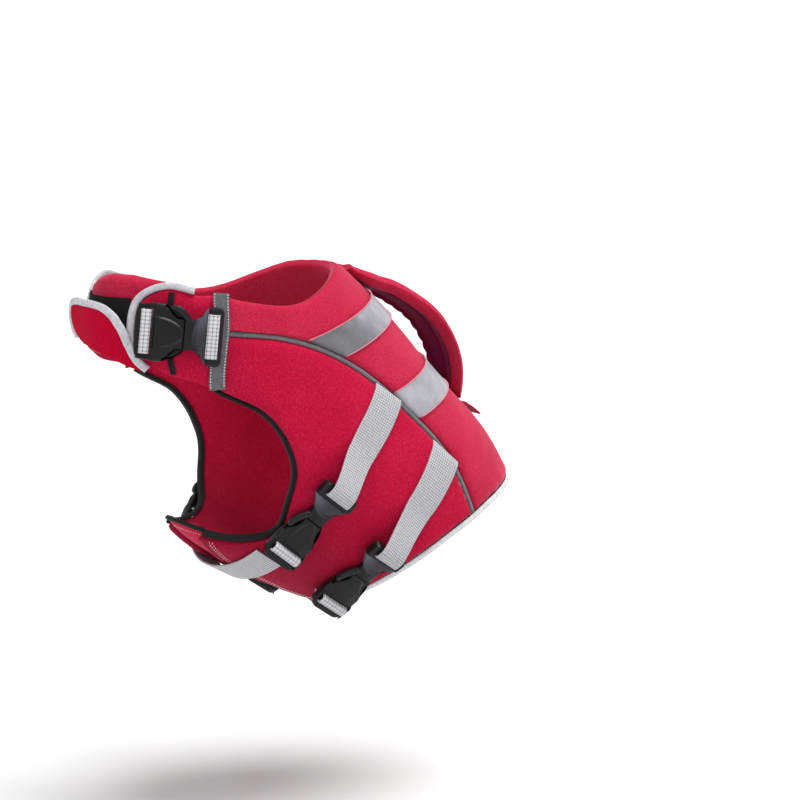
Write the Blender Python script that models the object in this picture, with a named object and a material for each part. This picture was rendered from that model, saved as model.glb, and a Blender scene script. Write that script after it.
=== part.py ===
"""A padded safety vest in its worn shape, as a seated wearer gives it.

Back, side and belly panels, neck bands with a throat pad and a turned-down flap, webbing
with side-release buckles, reflective bands, bound edges and a carry handle along the spine.

Sizes are in millimetres and become metres where an object is made. The wearer would face
-Y, with the left side at +X. The origin is on the inner face of the back panel, at the
middle of the back. A place on the garment is a station (0 at the neck rim, 1 behind the
hem), an angle around the body (0 along the spine, 90 at the left side, 180 under the
belly) and a lift, which is the distance out from the body's skin.
"""
import math
from collections import namedtuple

import bmesh
import bpy
from mathutils import Matrix, Vector

MM = 0.001

# Driving sizes
WALL = 12.0                # foam and cloth of the back and side panels
EDGE_WALL = 8.0            # the same wall where it is sewn flat at an edge
EDGE_ROLL = 9.0            # distance over which the wall fills out from an edge
SEAM_HALF = 3.0            # from the piping's middle to a panel's edge
SEAM_GAP = 0.4             # clearance between neighbouring pieces
PIPING_RADIUS = 2.6
PIPING_LIFT = 7.6
LAYER_GAP = 0.6            # clearance of a piece that lies on a panel
WEBBING_THICK = 1.6
BODY_WEBBING = 30.0        # width of the belly straps
NECK_WEBBING = 38.0        # width of the neck webbing
NECK_STRIP = 14.0          # width of the strip over the neck seam
BAND_THICK = 1.0           # reflective cloth
BAND_INSET = 8.0           # from the piping's middle to the end of a reflective band
BELLY_WALL = 3.6           # unpadded belly panel
BELLY_CLEAR = 4.4          # inner lift of the side panel where it covers the belly panel
THROAT_WALL = 10.0
NECK_BAND_WALL = 3.4       # where the neck band covers the throat pad
FLAP_WALL = 3.0
HEM_BINDING = 7.0
EDGE_BINDING = 5.0
HANDLE_HALF_WIDTH = 24.0
HANDLE_THICK = 9.0
HANDLE_FOOT_LENGTH = 26.0  # the padding thins out over this length towards the front foot
HANDLE_PUCKER = 1.4        # depth of the gathers along the handle's edges
HANDLE_GATHERS = 7
BUCKLE_SLOT = 0.045        # half width of a webbing slot, as a share of half the buckle
PLATE_CHAMFER = 1.2

RED = (0.60, 0.020, 0.060, 1.0)
SHADE_RED = (0.28, 0.008, 0.030, 1.0)
SILVER = (0.55, 0.55, 0.58, 1.0)
PALE_GREY = (0.62, 0.60, 0.62, 1.0)
STRIP_GREY = (0.16, 0.16, 0.18, 1.0)
BLACK = (0.012, 0.012, 0.014, 1.0)
CHARCOAL = (0.030, 0.030, 0.034, 1.0)

# The body's skin: rings from the neck rim to behind the hem. A ring runs from its spine point
# to its belly point. Its power squares it, and its lean moves the widest place to the spine.
Ring = namedtuple("Ring", "station spine_y spine_z belly_y belly_z half_width lean power")
RINGS = (
    Ring(0.00, -102, 110, -309, 113, 76, 0.00, 2.00),
    Ring(0.20, -82, 92, -316, 38, 84, 0.00, 2.05),
    Ring(0.40, -54, 63, -286, -48, 90, 0.05, 2.15),
    Ring(0.60, -10, 11, -238, -120, 94, 0.08, 2.20),
    Ring(0.80, 40, -41, -168, -163, 92, 0.08, 2.20),
    Ring(1.00, 80, -102, -88, -203, 84, 0.05, 2.15),
)

# Edges and seams of the left half, each as places on the body
Place = namedtuple("Place", "station angle")
NECKLINE = (
    Place(0.000, 0), Place(0.004, 18), Place(0.015, 32), Place(0.081, 52), Place(0.120, 66),
    Place(0.125, 78), Place(0.089, 94), Place(0.050, 110),
)
NECK_SEAM = (Place(0.050, 110.0), Place(0.160, 110.6), Place(0.290, 119.3))
PIPING = (
    Place(0.160, 110.6), Place(0.207, 92.4), Place(0.262, 81.7), Place(0.332, 74.3),
    Place(0.450, 67.3), Place(0.549, 64.0), Place(0.662, 63.4), Place(0.777, 67.5),
    Place(0.870, 72.2), Place(0.911, 74.5),
)
HEM_OVER_BACK = (Place(0.952, 0), Place(0.948, 25), Place(0.928, 47), Place(0.914, 65),
                 Place(0.911, 74.5))
HEM_AT_SIDE = (Place(0.911, 74.5), Place(0.907, 86), Place(0.906, 95), Place(0.907, 111),
               Place(0.909, 135), Place(0.908, 152))
ARMHOLE = (
    Place(0.290, 119.3), Place(0.372, 108.2), Place(0.442, 105.8), Place(0.506, 107.6),
    Place(0.549, 111.5), Place(0.596, 120.3), Place(0.640, 130), Place(0.649, 138.5),
    Place(0.628, 150), Place(0.590, 163),
)
LOWER_EDGE = (Place(0.590, 163), Place(0.680, 167), Place(0.800, 167.5), Place(0.855, 165),
              Place(0.890, 160), Place(0.908, 152))
SEAM_TO_ARMHOLE = (Place(0.225, 113.8), Place(0.290, 119.3))
BAND_TOP_EDGE = (Place(0.050, 110.0), Place(0.045, 122), Place(0.028, 133), Place(0.040, 142))
BAND_FRONT_EDGE = (Place(0.040, 142), Place(0.066, 147.5), Place(0.114, 149),
                   Place(0.180, 149))
BAND_LOWER_EDGE = (Place(0.290, 119.3), Place(0.263, 125), Place(0.232, 136),
                   Place(0.180, 149))
KEEPER = (Place(0.036, 132), Place(0.120, 132.4), Place(0.232, 133.5))

# Reflective bands: stations of the upper and lower edge, at the piping and at the spine
Band = namedtuple("Band", "name upper lower upper_spine lower_spine")
BANDS = (
    Band("reflective_band_front", 0.273, 0.371, 0.288, 0.403),
    Band("reflective_band_rear", 0.525, 0.619, 0.562, 0.660),
)

# Straps of the left side, from the piping to the slot of the buckle they hold
STRAP_FRONT = (Place(0.510, 65.3), Place(0.5415, 76), Place(0.5605, 83), Place(0.576, 88.3))
STRAP_REAR = (Place(0.7277, 65.75), Place(0.756, 76), Place(0.7785, 84.5), Place(0.797, 91.5))
BELLY_STRAP = (Place(0.6915, 144.4), Place(0.7075, 159), Place(0.715, 180))

# Buckles: the place under the middle, the way to the male end, and the plan size
Buckle = namedtuple("Buckle", "station angle to_station to_angle length width height lift")
BUCKLE_FRONT = Buckle(0.655, 120.9, -0.058, -30.0, 86, 37, 11, 12.6)
BUCKLE_REAR = Buckle(0.8605, 129.9, -0.048, -34.0, 86, 37, 11, 12.6)
BUCKLE_NECK = Buckle(0.145, 127.7, 0.034, -26.0, 74, 50, 12, 16.3)

# Half outlines of a buckle's two parts, in halves of its length and width. The female part
# ends in a guide, and the male part's prongs lie on both sides of it.
OutlinePoint = namedtuple("OutlinePoint", "along across")
FEMALE_OUTLINE = (
    OutlinePoint(-1.00, 0.62), OutlinePoint(-0.96, 0.88), OutlinePoint(-0.88, 1.00),
    OutlinePoint(-0.32, 1.00), OutlinePoint(-0.25, 0.92), OutlinePoint(-0.20, 0.66),
    OutlinePoint(0.10, 0.50),
)
MALE_OUTLINE = (
    OutlinePoint(0.12, 0.50), OutlinePoint(0.10, 0.57), OutlinePoint(-0.16, 0.72),
    OutlinePoint(-0.21, 0.94), OutlinePoint(-0.14, 1.02), OutlinePoint(0.02, 0.94),
    OutlinePoint(0.16, 0.68), OutlinePoint(0.34, 0.56), OutlinePoint(0.46, 0.68),
    OutlinePoint(0.55, 0.96), OutlinePoint(0.64, 1.02), OutlinePoint(0.92, 1.00),
    OutlinePoint(1.00, 0.80),
)
LOOP_SLOTS = (-0.88, -0.69)       # middles of the two slots around the female crossbar
STRAP_SLOT = 0.77                 # middle of the male slot
SLOT_ACROSS = 0.87                # half length of a slot, in halves of the width

# Carry handle: its middle line above the spine
HandlePoint = namedtuple("HandlePoint", "y z")
HANDLE_LINE = (
    HandlePoint(-58, 98.5), HandlePoint(-40, 93.5), HandlePoint(-23, 85.5), HandlePoint(-6, 73.5),
    HandlePoint(8, 60), HandlePoint(19, 45), HandlePoint(27, 29), HandlePoint(32, 8),
)
HANDLE_FRONT_FOOT = (0.120, 0.160)     # stations between which the handle lies on the back
HANDLE_REAR_FOOT = 0.733
LEASH_TAB_WIDTH = 20.0
# The tab's fold: station and lift, from its upper end to its lower end
LEASH_TAB_FOLD = ((0.810, 20.6), (0.790, 18.6), (0.772, 16.8), (0.7655, 15.2), (0.771, 13.8),
                  (0.790, 13.5), (0.830, 13.7))
HANDLE_SECTION = ((1.0, 0.0), (0.94, 0.42), (0.80, 0.50), (0.0, 0.50), (-0.80, 0.50),
                  (-0.94, 0.42), (-1.0, 0.0), (-0.94, -0.42), (-0.80, -0.50), (0.0, -0.50),
                  (0.80, -0.50), (0.94, -0.42))


# ---------------------------------------------------------------- the body's skin

def blend(rows, at, column):
    """Smooth value of a table's column where its first column has a given value."""
    last = len(rows) - 2
    k = next((i for i in range(last) if at <= rows[i + 1][0]), last)
    start, end = rows[k], rows[k + 1]
    span = end[0] - start[0]
    chord = (end[column] - start[column]) / span
    slope_in = chord
    slope_out = chord
    if k > 0:
        slope_in = (end[column] - rows[k - 1][column]) / (end[0] - rows[k - 1][0])
    if k < last:
        slope_out = (rows[k + 2][column] - start[column]) / (rows[k + 2][0] - start[0])
    f = (at - start[0]) / span
    bend_in = (f ** 3 - 2 * f ** 2 + f) * span * slope_in
    bend_out = (f ** 3 - f ** 2) * span * slope_out
    rise = 3 * f ** 2 - 2 * f ** 3
    return (1 - rise) * start[column] + rise * end[column] + bend_in + bend_out


def skin(station, angle):
    """Point of the body's skin."""
    ring = Ring(station, *(blend(RINGS, station, i) for i in range(1, len(Ring._fields))))
    cosine, sine = math.cos(math.radians(angle)), math.sin(math.radians(angle))
    up = math.copysign(abs(cosine) ** (2 / ring.power), cosine)
    out = math.copysign(abs(sine) ** (2 / ring.power), sine)
    up += ring.lean * out * out
    middle_y, middle_z = (ring.spine_y + ring.belly_y) / 2, (ring.spine_z + ring.belly_z) / 2
    half_y, half_z = (ring.spine_y - ring.belly_y) / 2, (ring.spine_z - ring.belly_z) / 2
    return Vector((ring.half_width * out, middle_y + half_y * up, middle_z + half_z * up))


def skin_slopes(station, angle):
    """Change of the skin point for a whole station, and for a degree."""
    along = (skin(station + 0.01, angle) - skin(station - 0.01, angle)) / 0.02
    around = (skin(station, angle + 1) - skin(station, angle - 1)) / 2
    return along, around


def outward(station, angle):
    along, around = skin_slopes(station, angle)
    return around.cross(along).normalized()


def lifted(station, angle, lift):
    """Point at a distance out from the skin, in millimetres."""
    return skin(station, angle) + outward(station, angle) * lift


def moved(place, move):
    """The place reached by a small move, given as a vector, along the skin."""
    along, around = skin_slopes(place.station, place.angle)
    aa, ar, rr = along.dot(along), along.dot(around), around.dot(around)
    ma, mr = move.dot(along), move.dot(around)
    scale = aa * rr - ar * ar
    return Place(place.station + (ma * rr - mr * ar) / scale,
                 place.angle + (mr * aa - ma * ar) / scale)


# ---------------------------------------------------------------- lines on the garment

class Line:
    """A smooth line through places, read at a share of its length."""

    def __init__(self, places, lift=WALL):
        self.lift = lift
        rows = [(0.0, places[0].station, places[0].angle)]
        for before, after in zip(places, places[1:]):
            chord = lifted(*after, lift) - lifted(*before, lift)
            rows.append((rows[-1][0] + chord.length, after.station, after.angle))
        self.rows = rows
        self.length = rows[-1][0]

    def at(self, share):
        distance = share * self.length
        return Place(blend(self.rows, distance, 1), blend(self.rows, distance, 2))

    def heading(self, share):
        """Unit direction of travel."""
        before = lifted(*self.at(max(share - 0.01, 0.0)), self.lift)
        after = lifted(*self.at(min(share + 0.01, 1.0)), self.lift)
        return (after - before).normalized()

    def side(self, share):
        """Unit direction to the right of travel, seen from outside."""
        place = self.at(share)
        return self.heading(share).cross(outward(place.station, place.angle)).normalized()

    def beside(self, share, distance):
        """The place at a distance to the right of the line."""
        return moved(self.at(share), self.side(share) * distance)


def mirrored(places):
    return tuple(Place(place.station, -place.angle) for place in places)


def over_spine(places):
    """The same line on the right, over the spine, and on the left."""
    return mirrored(places)[:0:-1] + tuple(places)


def patch(top, right, bottom, left):
    """Chart of a four-sided piece: functions of a share give its edges. The chart takes a
    share down the piece and a share across it, and gives a place."""
    corners = (top(0), top(1), bottom(0), bottom(1))

    def chart(down, across):
        place = []
        for i in range(2):
            rows = (1 - down) * top(across)[i] + down * bottom(across)[i]
            columns = (1 - across) * left(down)[i] + across * right(down)[i]
            plain = (1 - down) * ((1 - across) * corners[0][i] + across * corners[1][i])
            plain += down * ((1 - across) * corners[2][i] + across * corners[3][i])
            place.append(rows + columns - plain)
        return Place(*place)

    return chart


def spread(count, crowding=0.75):
    """Shares from 0 to 1, closer together near both ends."""
    shares = []
    for i in range(count + 1):
        even = i / count
        shares.append((1 - crowding) * even + crowding * (1 - math.cos(math.pi * even)) / 2)
    return shares


# ---------------------------------------------------------------- solids

def material_for(name, colour, roughness):
    material = bpy.data.materials.new(name)
    material.use_nodes = True
    material.diffuse_color = colour
    shader = material.node_tree.nodes["Principled BSDF"]
    shader.inputs["Base Color"].default_value = colour
    shader.inputs["Roughness"].default_value = roughness
    shader.inputs["Metallic"].default_value = 0.0
    return material


def add_object(name, data, colour, roughness=0.8):
    shape = bpy.data.objects.new(name, data)
    data.materials.append(material_for(name, colour, roughness))
    garment.objects.link(shape)
    shape.parent = held_place
    return shape


def add_solid(name, points, faces, colour, roughness=0.8):
    """A closed mesh from points in millimetres, with its faces turned outward."""
    mesh = bpy.data.meshes.new(name)
    mesh.from_pydata([point * MM for point in points], [], faces)
    work = bmesh.new()
    work.from_mesh(mesh)
    bmesh.ops.recalc_face_normals(work, faces=work.faces)
    work.to_mesh(mesh)
    work.free()
    mesh.shade_smooth()
    mesh.set_sharp_from_angle(angle=math.radians(40))
    return add_object(name, mesh, colour, roughness)


def wall(name, inner, outer, colour, roughness=0.85):
    """A closed wall between two grids of points with equal rows and columns."""
    rows, columns = len(inner), len(inner[0])
    points = [point for grid in (inner, outer) for row in grid for point in row]

    def index(side, row, column):
        return (side * rows + row) * columns + column

    faces = []
    for row in range(rows - 1):
        for column in range(columns - 1):
            for side in (0, 1):
                faces.append((index(side, row, column), index(side, row, column + 1),
                              index(side, row + 1, column + 1), index(side, row + 1, column)))
    rim = [(0, column) for column in range(columns)]
    rim += [(row, columns - 1) for row in range(1, rows)]
    rim += [(rows - 1, column) for column in range(columns - 2, -1, -1)]
    rim += [(row, 0) for row in range(rows - 2, 0, -1)]
    for here, there in zip(rim, rim[1:] + rim[:1]):
        faces.append((index(0, *here), index(0, *there), index(1, *there), index(1, *here)))
    return add_solid(name, points, faces, colour, roughness)


def loft(name, rings, colour, roughness=0.8):
    """A closed solid through rings with equal numbers of points."""
    count = len(rings[0])
    points = [point for ring in rings for point in ring]
    faces = [tuple(range(count)), tuple(range((len(rings) - 1) * count, len(rings) * count))]
    for k in range(len(rings) - 1):
        for i in range(count):
            j = (i + 1) % count
            faces.append((k * count + i, k * count + j, (k + 1) * count + j, (k + 1) * count + i))
    return add_solid(name, points, faces, colour, roughness)


def rolled(distance, edge, full, reach=EDGE_ROLL):
    """Height that rises from an edge to its full value as a quarter ellipse."""
    left = 1 - min(distance / reach, 1.0)
    return edge + (full - edge) * math.sqrt(1 - left * left)


def panel(name, chart, rows, columns, lifts, colour, roughness=0.85):
    """A wall over a chart. The rule for lifts takes a place and its distances from the
    top, right, bottom and left edges, and gives the inner and the outer lift."""
    places = [[chart(row, column) for column in columns] for row in rows]
    middle = [[lifted(*place, WALL / 2) for place in line] for line in places]
    inner, outer = [], []
    down = [[0.0] * len(columns) for _ in rows]
    across = [[0.0] * len(columns) for _ in rows]
    for r in range(len(rows)):
        for c in range(len(columns)):
            if r:
                down[r][c] = down[r - 1][c] + (middle[r][c] - middle[r - 1][c]).length
            if c:
                across[r][c] = across[r][c - 1] + (middle[r][c] - middle[r][c - 1]).length
    for r, line in enumerate(places):
        inner_row, outer_row = [], []
        for c, place in enumerate(line):
            edges = (down[r][c], across[r][-1] - across[r][c], down[-1][c] - down[r][c],
                     across[r][c])
            low, high = lifts(place, edges)
            inner_row.append(lifted(*place, low))
            outer_row.append(lifted(*place, high))
        inner.append(inner_row)
        outer.append(outer_row)
    return wall(name, inner, outer, colour, roughness)


def ribbon(name, stops, thick, colour, roughness=0.7):
    """A flat band through stops, each a middle point and a vector to its right edge."""
    rings = []
    for k, (middle, half) in enumerate(stops):
        before = stops[max(k - 1, 0)][0]
        after = stops[min(k + 1, len(stops) - 1)][0]
        face = half.cross(after - before).normalized() * (thick / 2)
        rings.append([middle - half - face, middle + half - face, middle + half + face,
                      middle - half + face])
    return loft(name, rings, colour, roughness)


def ribbon_on(name, line, width, lift, thick, count, colour, start=0.0, end=1.0):
    """A flat band that follows a line at a lift."""
    stops = []
    for k in range(count + 1):
        share = start + (end - start) * k / count
        stops.append((lifted(*line.at(share), lift), line.side(share) * (width / 2)))
    return ribbon(name, stops, thick, colour)


def binding(name, line, shares, width, low, high, colour, side=1, rise=None, gap=SEAM_GAP):
    """A bound edge: a rounded section along the right of a line, clear of it. A rule for its
    rise may lift it by place."""
    near, far = gap, gap + width
    section = ((near, low + 0.8), (near, high - 0.8), (near + 1.2, high), (far - 1.2, high - 0.4),
               (far, (low + high) / 2), (far - 1.2, low + 0.4), (near + 1.2, low))
    rings = []
    for share in shares:
        extra = rise(line.at(share)) if rise else 0.0
        ring = []
        for out, lift in section:
            place = line.beside(share, out)
            ring.append(lifted(place.station, side * place.angle, lift + extra))
        rings.append(ring)
    return loft(name, rings, colour)


# ---------------------------------------------------------------- panels

def padded(place, edges):
    """Lifts of a foam panel that is sewn flat at its edges."""
    distance = min(edges)
    return rolled(distance, 2.0, 0.0), rolled(distance, EDGE_WALL, WALL)


def back_chart():
    """Chart of the back panel: down from the neckline, across from right to left."""
    piping = Line(PIPING)
    seam = Line(NECK_SEAM[:2])
    neckline = Line(NECKLINE)
    hem = Line(HEM_OVER_BACK)
    arm = seam.length / (seam.length + piping.length)

    def left_edge(down):
        if down < arm:
            return seam.at(down / arm * (1 - SEAM_HALF / seam.length))
        return piping.beside((down - arm) / (1 - arm), -SEAM_HALF)

    def spine(down):
        return Place(NECKLINE[0].station + (HEM_OVER_BACK[0].station - NECKLINE[0].station)
                     * (0.94 * down + 0.06 * down ** 2), 0)

    half = patch(neckline.at, left_edge, lambda share: end_towards(hem, left_edge(1.0), share),
                 spine)

    def chart(down, across):
        side = 2 * across - 1
        place = half(down, abs(side))
        return Place(place.station, math.copysign(place.angle, side))

    return chart, arm


def end_towards(line, last, share):
    """A line whose last place is drawn in to another place."""
    place, end = line.at(share), line.at(1.0)
    return Place(place.station + (last.station - end.station) * share,
                 place.angle + (last.angle - end.angle) * share)


SIDE_ROWS = spread(17, 0.35)


def make_back_panel():
    chart, arm = back_chart()
    rows = [0.0, arm * 0.3, arm * 0.7, arm * 0.97]
    rows += [arm + (1 - arm) * share for share in spread(15, 0.25)[1:]]
    panel("back_panel", chart, rows, spread(24, 0.6), padded, RED)
    for band in BANDS:
        make_reflective_band(band)


def make_reflective_band(band):
    """A band across the back from piping to piping, on the back panel."""
    piping = Line(PIPING)
    low = WALL + LAYER_GAP
    edges = ((band.upper, band.upper_spine), (band.lower, band.lower_spine))
    ends = []
    for station, _ in edges:
        share = min((k / 200 for k in range(201)),
                    key=lambda s: abs(piping.at(s).station - station))
        ends.append(piping.beside(share, -BAND_INSET))
    inner, outer = [], []
    for down in (0.0, 0.5, 1.0):
        station = ends[0].station * (1 - down) + ends[1].station * down
        angle = ends[0].angle * (1 - down) + ends[1].angle * down
        middle = edges[0][1] * (1 - down) + edges[1][1] * down
        line = []
        for across in spread(22, 0.0):
            side = 2 * across - 1
            line.append((middle + (station - middle) * side * side, angle * side))
        inner.append([lifted(*place, low) for place in line])
        outer.append([lifted(*place, low + BAND_THICK) for place in line])
    wall(band.name, inner, outer, SILVER, 0.45)


def side_lifts(place, edges):
    """The side panel is padded, and passes over the belly panel lower down."""
    distance = min(edges)
    angle = abs(place.angle)
    over = min(max((angle - 124) / 16, 0.0), 1.0)
    over = over * over * (3 - 2 * over)
    low = rolled(distance, 2.0, 0.0) * (1 - over) + BELLY_CLEAR * over
    return low, max(rolled(distance, EDGE_WALL, WALL), low + 3.6)


def side_chart(side):
    """Chart of a side panel: down from the neck seam to the belly along its front edge, and
    across from that edge to the hem. Also the share of the front edge that the seam takes."""
    piping = Line(PIPING)
    lower = Line(LOWER_EDGE)
    armhole = Line(ARMHOLE)
    first = piping.beside(0.0, SEAM_HALF)
    last = piping.beside(1.0, SEAM_HALF)
    seam = Line((Place(first.station, NECK_SEAM[1].angle),) + SEAM_TO_ARMHOLE)
    turn = seam.length / (seam.length + armhole.length)
    rear = Line((last,) + HEM_AT_SIDE[1:])

    def front(down):
        if down < turn:
            return seam.at(down / turn)
        return armhole.at((down - turn) / (1 - turn))

    def top(across):
        place, start = piping.beside(across, SEAM_HALF), seam.at(0.0)
        return Place(place.station + (start.station - first.station) * (1 - across) ** 8,
                     place.angle + (start.angle - first.angle) * (1 - across) ** 8)

    half = patch(top, rear.at, lower.at, front)

    def chart(down, across):
        place = half(down, across)
        return Place(place.station, side * place.angle)

    return chart, turn


def make_side_panels():
    for side, name in ((1, "side_panel_left"), (-1, "side_panel_right")):
        chart, turn = side_chart(side)
        rows = [0.0, turn * 0.5] + [turn + (1 - turn) * share for share in SIDE_ROWS]
        panel(name, chart, rows, spread(13, 0.6), side_lifts, RED)


def belly_front(side):
    """Station of the belly panel's front edge, from side -1 to 1."""
    return 0.562 + 0.087 * side * side


def make_belly_panel():
    half_angle = 30.0

    def chart(down, across):
        side = 2 * across - 1
        front = belly_front(side)
        rear = 0.885 + 0.110 * max(0.0, 1 - (abs(side) / 0.80) ** 4)
        return Place(front + (rear - front) * down, 180 - half_angle * side)

    def lifts(place, edges):
        rise = 5.0 * min(max((place.station - 0.935) / 0.050, 0.0), 1.0)
        return rise, rise + rolled(min(edges), BELLY_WALL - 1.0, BELLY_WALL, 4.0)

    panel("belly_panel", chart, spread(12, 0.4), spread(14, 0.4), lifts, RED)


def make_neck_bands():
    top, lower = Line(BAND_TOP_EDGE), Line(BAND_LOWER_EDGE)
    front, rear = Line(BAND_FRONT_EDGE), Line(NECK_SEAM)
    half = patch(top.at, front.at, lower.at, rear.at)
    gap = 1.0

    def lifts(place, edges):
        over = min(max((abs(place.angle) - 113) / 18, 0.0), 1.0)
        over = over * over * (3 - 2 * over)
        distance = min(edges)
        low = rolled(distance, 2.0, 0.0) * (1 - over) + (THROAT_WALL + SEAM_GAP) * over
        high = rolled(distance, EDGE_WALL, WALL) * (1 - over)
        high += (THROAT_WALL + SEAM_GAP + rolled(distance, 2.4, NECK_BAND_WALL, 4.0)) * over
        return low, high

    for side, name in ((1, "neck_band_left"), (-1, "neck_band_right")):
        def chart(down, across, side=side):
            place = half(down, across)
            return Place(place.station, side * (place.angle + gap * (1 - across)))
        panel(name, chart, spread(10, 0.5), spread(10, 0.4), lifts, RED)


def make_throat_pad():
    """Foam pad under the throat, thicker along its top, with its facing and its flap."""
    half_angle = 44.0
    top, bottom = -0.008, 0.180

    def roll_up(station):
        return 3.0 * max(0.0, 1 - ((station - 0.015) / 0.030) ** 2)

    def lifts(place, edges):
        full = THROAT_WALL - 0.6 + roll_up(place.station) * thin_under_bands(place.angle)
        return rolled(min(edges), 2.0, 0.0), rolled(min(edges), 6.5, full)

    def thin_under_bands(angle):
        from_middle = abs(180 - abs(angle))
        return min(max((38 - from_middle) / 8, 0.0), 1.0)

    def chart(down, across):
        side = 2 * across - 1
        lowered = top + 0.014 * min(max((abs(side) * half_angle - 25) / 19, 0.0), 1.0)
        return Place(lowered + (bottom - lowered) * down, 180 - half_angle * side)

    panel("throat_pad", chart, spread(9, 0.5), spread(16, 0.5), lifts, RED)
    inner, outer = [], []
    low = THROAT_WALL - 0.6 + 0.5
    for station in (0.050, 0.090, 0.130, 0.160):
        line = [(station, 180 - 26.5 * (2 * across - 1)) for across in spread(12, 0.0)]
        inner.append([lifted(*place, low) for place in line])
        outer.append([lifted(*place, low + 1.2) for place in line])
    wall("throat_fastener", inner, outer, BLACK, 0.95)


# The flap's edges: its free edge and its bottom run from its far end to its near end
FLAP_FREE = Line((Place(0.087, 192.8), Place(0.0795, 189), Place(0.078, 180), Place(0.080, 170),
                  Place(0.089, 163), Place(0.105, 159)), 20)
FLAP_NEAR = Line((Place(0.105, 159), Place(0.137, 154.5), Place(0.187, 150), Place(0.216, 145)),
                 18)
FLAP_BOTTOM = Line((Place(0.145, 191.5), Place(0.158, 188), Place(0.166, 180),
                    Place(0.177, 168), Place(0.197, 155), Place(0.216, 145)), 15)
FLAP_FAR = Line((Place(0.087, 192.8), Place(0.108, 194.5), Place(0.130, 194),
                 Place(0.145, 191.5)), 18)


def flap_lift(place):
    """The flap stands away from the pad toward its free edge and its far end, and passes over
    the neck band at its near end."""
    rise = min(max((0.165 - place.station) / 0.095, 0.0), 1.0)
    over = min(max((160 - place.angle) / 8, 0.0), 1.0)
    stand = 0.03 * max(place.angle - 182, 0.0) ** 2
    return 11.5 + 3.4 * over + 11.0 * rise - 2.0 * rise * over + stand


def make_flap():
    chart = patch(FLAP_FREE.at, FLAP_NEAR.at, FLAP_BOTTOM.at, FLAP_FAR.at)

    def lifts(place, edges):
        low = flap_lift(place)
        return low, low + rolled(min(edges), 2.0, FLAP_WALL, 5.0)

    panel("throat_flap", chart, spread(8, 0.4), spread(12, 0.4), lifts, RED)


# ---------------------------------------------------------------- seams and edges

def make_piping():
    for side, name in ((1, "piping_left"), (-1, "piping_right")):
        line = Line(PIPING)
        count = 34
        curve = bpy.data.curves.new(name, "CURVE")
        curve.dimensions = "3D"
        curve.bevel_depth = (PIPING_RADIUS) * MM
        curve.bevel_resolution = 1
        curve.use_fill_caps = True
        spline = curve.splines.new("POLY")
        spline.points.add(count)
        for k, point in enumerate(spline.points):
            place = line.at(0.012 + 0.982 * k / count)
            centre = lifted(place.station, side * place.angle, PIPING_LIFT)
            point.co = (*(centre * MM), 1.0)
        add_object(name, curve, STRIP_GREY, 0.5)


def even(count, start=0.0, end=1.0):
    return [start + (end - start) * k / count for k in range(count + 1)]


def make_bindings():
    whole_hem = Line(over_spine(HEM_OVER_BACK[:-1] + HEM_AT_SIDE)[::-1])
    binding("hem_binding", whole_hem, even(44), HEM_BINDING, 1.5, 8.5, PALE_GREY)
    for side, name in ((1, "left"), (-1, "right")):
        binding("armhole_binding_" + name, Line(ARMHOLE), [0.02] + SIDE_ROWS[1:-1] + [0.985],
                EDGE_BINDING, 1.2, 8.2, BLACK, side)
        binding("lower_binding_" + name, Line(LOWER_EDGE), even(14, 0.02, 0.97), EDGE_BINDING,
                4.2, 9.0, SHADE_RED, side)
        low = THROAT_WALL + SEAM_GAP
        binding("neck_band_binding_" + name, Line(BAND_TOP_EDGE[1:-1] + BAND_FRONT_EDGE), even(14),
                EDGE_BINDING, low, low + NECK_BAND_WALL + 0.6, PALE_GREY, side)
    edge = [FLAP_NEAR.at(share) for share in (1.0, 0.75, 0.5, 0.25, 0.06)]
    edge += [FLAP_FREE.at(share) for share in (0.97, 0.8, 0.6, 0.4, 0.2, 0.04)]
    edge += [FLAP_FAR.at(share) for share in (0.08, 0.4, 0.7, 1.0)]
    binding("throat_flap_binding", Line(edge, 20), even(26), EDGE_BINDING,
            0.0, FLAP_WALL + 0.6, PALE_GREY, rise=flap_lift, gap=1.0)
    front = tuple(Place(belly_front(turn / 30), 180 + turn) for turn in (-12, -6, 0, 6, 12))
    binding("belly_binding", Line(front), even(8), 4.0, 0.4, 4.4, BLACK, gap=1.0)


def make_neck_strips():
    for side, name in ((1, "neck_strip_left"), (-1, "neck_strip_right")):
        places = NECK_SEAM if side == 1 else mirrored(NECK_SEAM)
        ribbon_on(name, Line(places), NECK_STRIP, WALL + LAYER_GAP + 0.6, 1.2, 8, STRIP_GREY,
                  -0.02, 1.0)
        keeper = KEEPER if side == 1 else mirrored(KEEPER)
        ribbon_on("keeper" + name[len("neck_strip"):], Line(keeper), 5.0,
                  THROAT_WALL + SEAM_GAP + NECK_BAND_WALL + LAYER_GAP + 0.5, 1.0, 8, BLACK)


# ---------------------------------------------------------------- buckles and webbing

def buckle_frame(buckle, side):
    """Matrix of a buckle in millimetres: x to the male end, z outward, origin under it."""
    angle = side * buckle.angle
    origin = lifted(buckle.station, angle, buckle.lift)
    upward = outward(buckle.station, angle)
    along, around = skin_slopes(buckle.station, angle)
    to_male = along * buckle.to_station + around * (side * buckle.to_angle)
    to_male = (to_male - upward * to_male.dot(upward)).normalized()
    across = upward.cross(to_male)
    frame = Matrix((to_male, across, upward)).transposed().to_4x4()
    frame.translation = origin
    return frame


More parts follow.
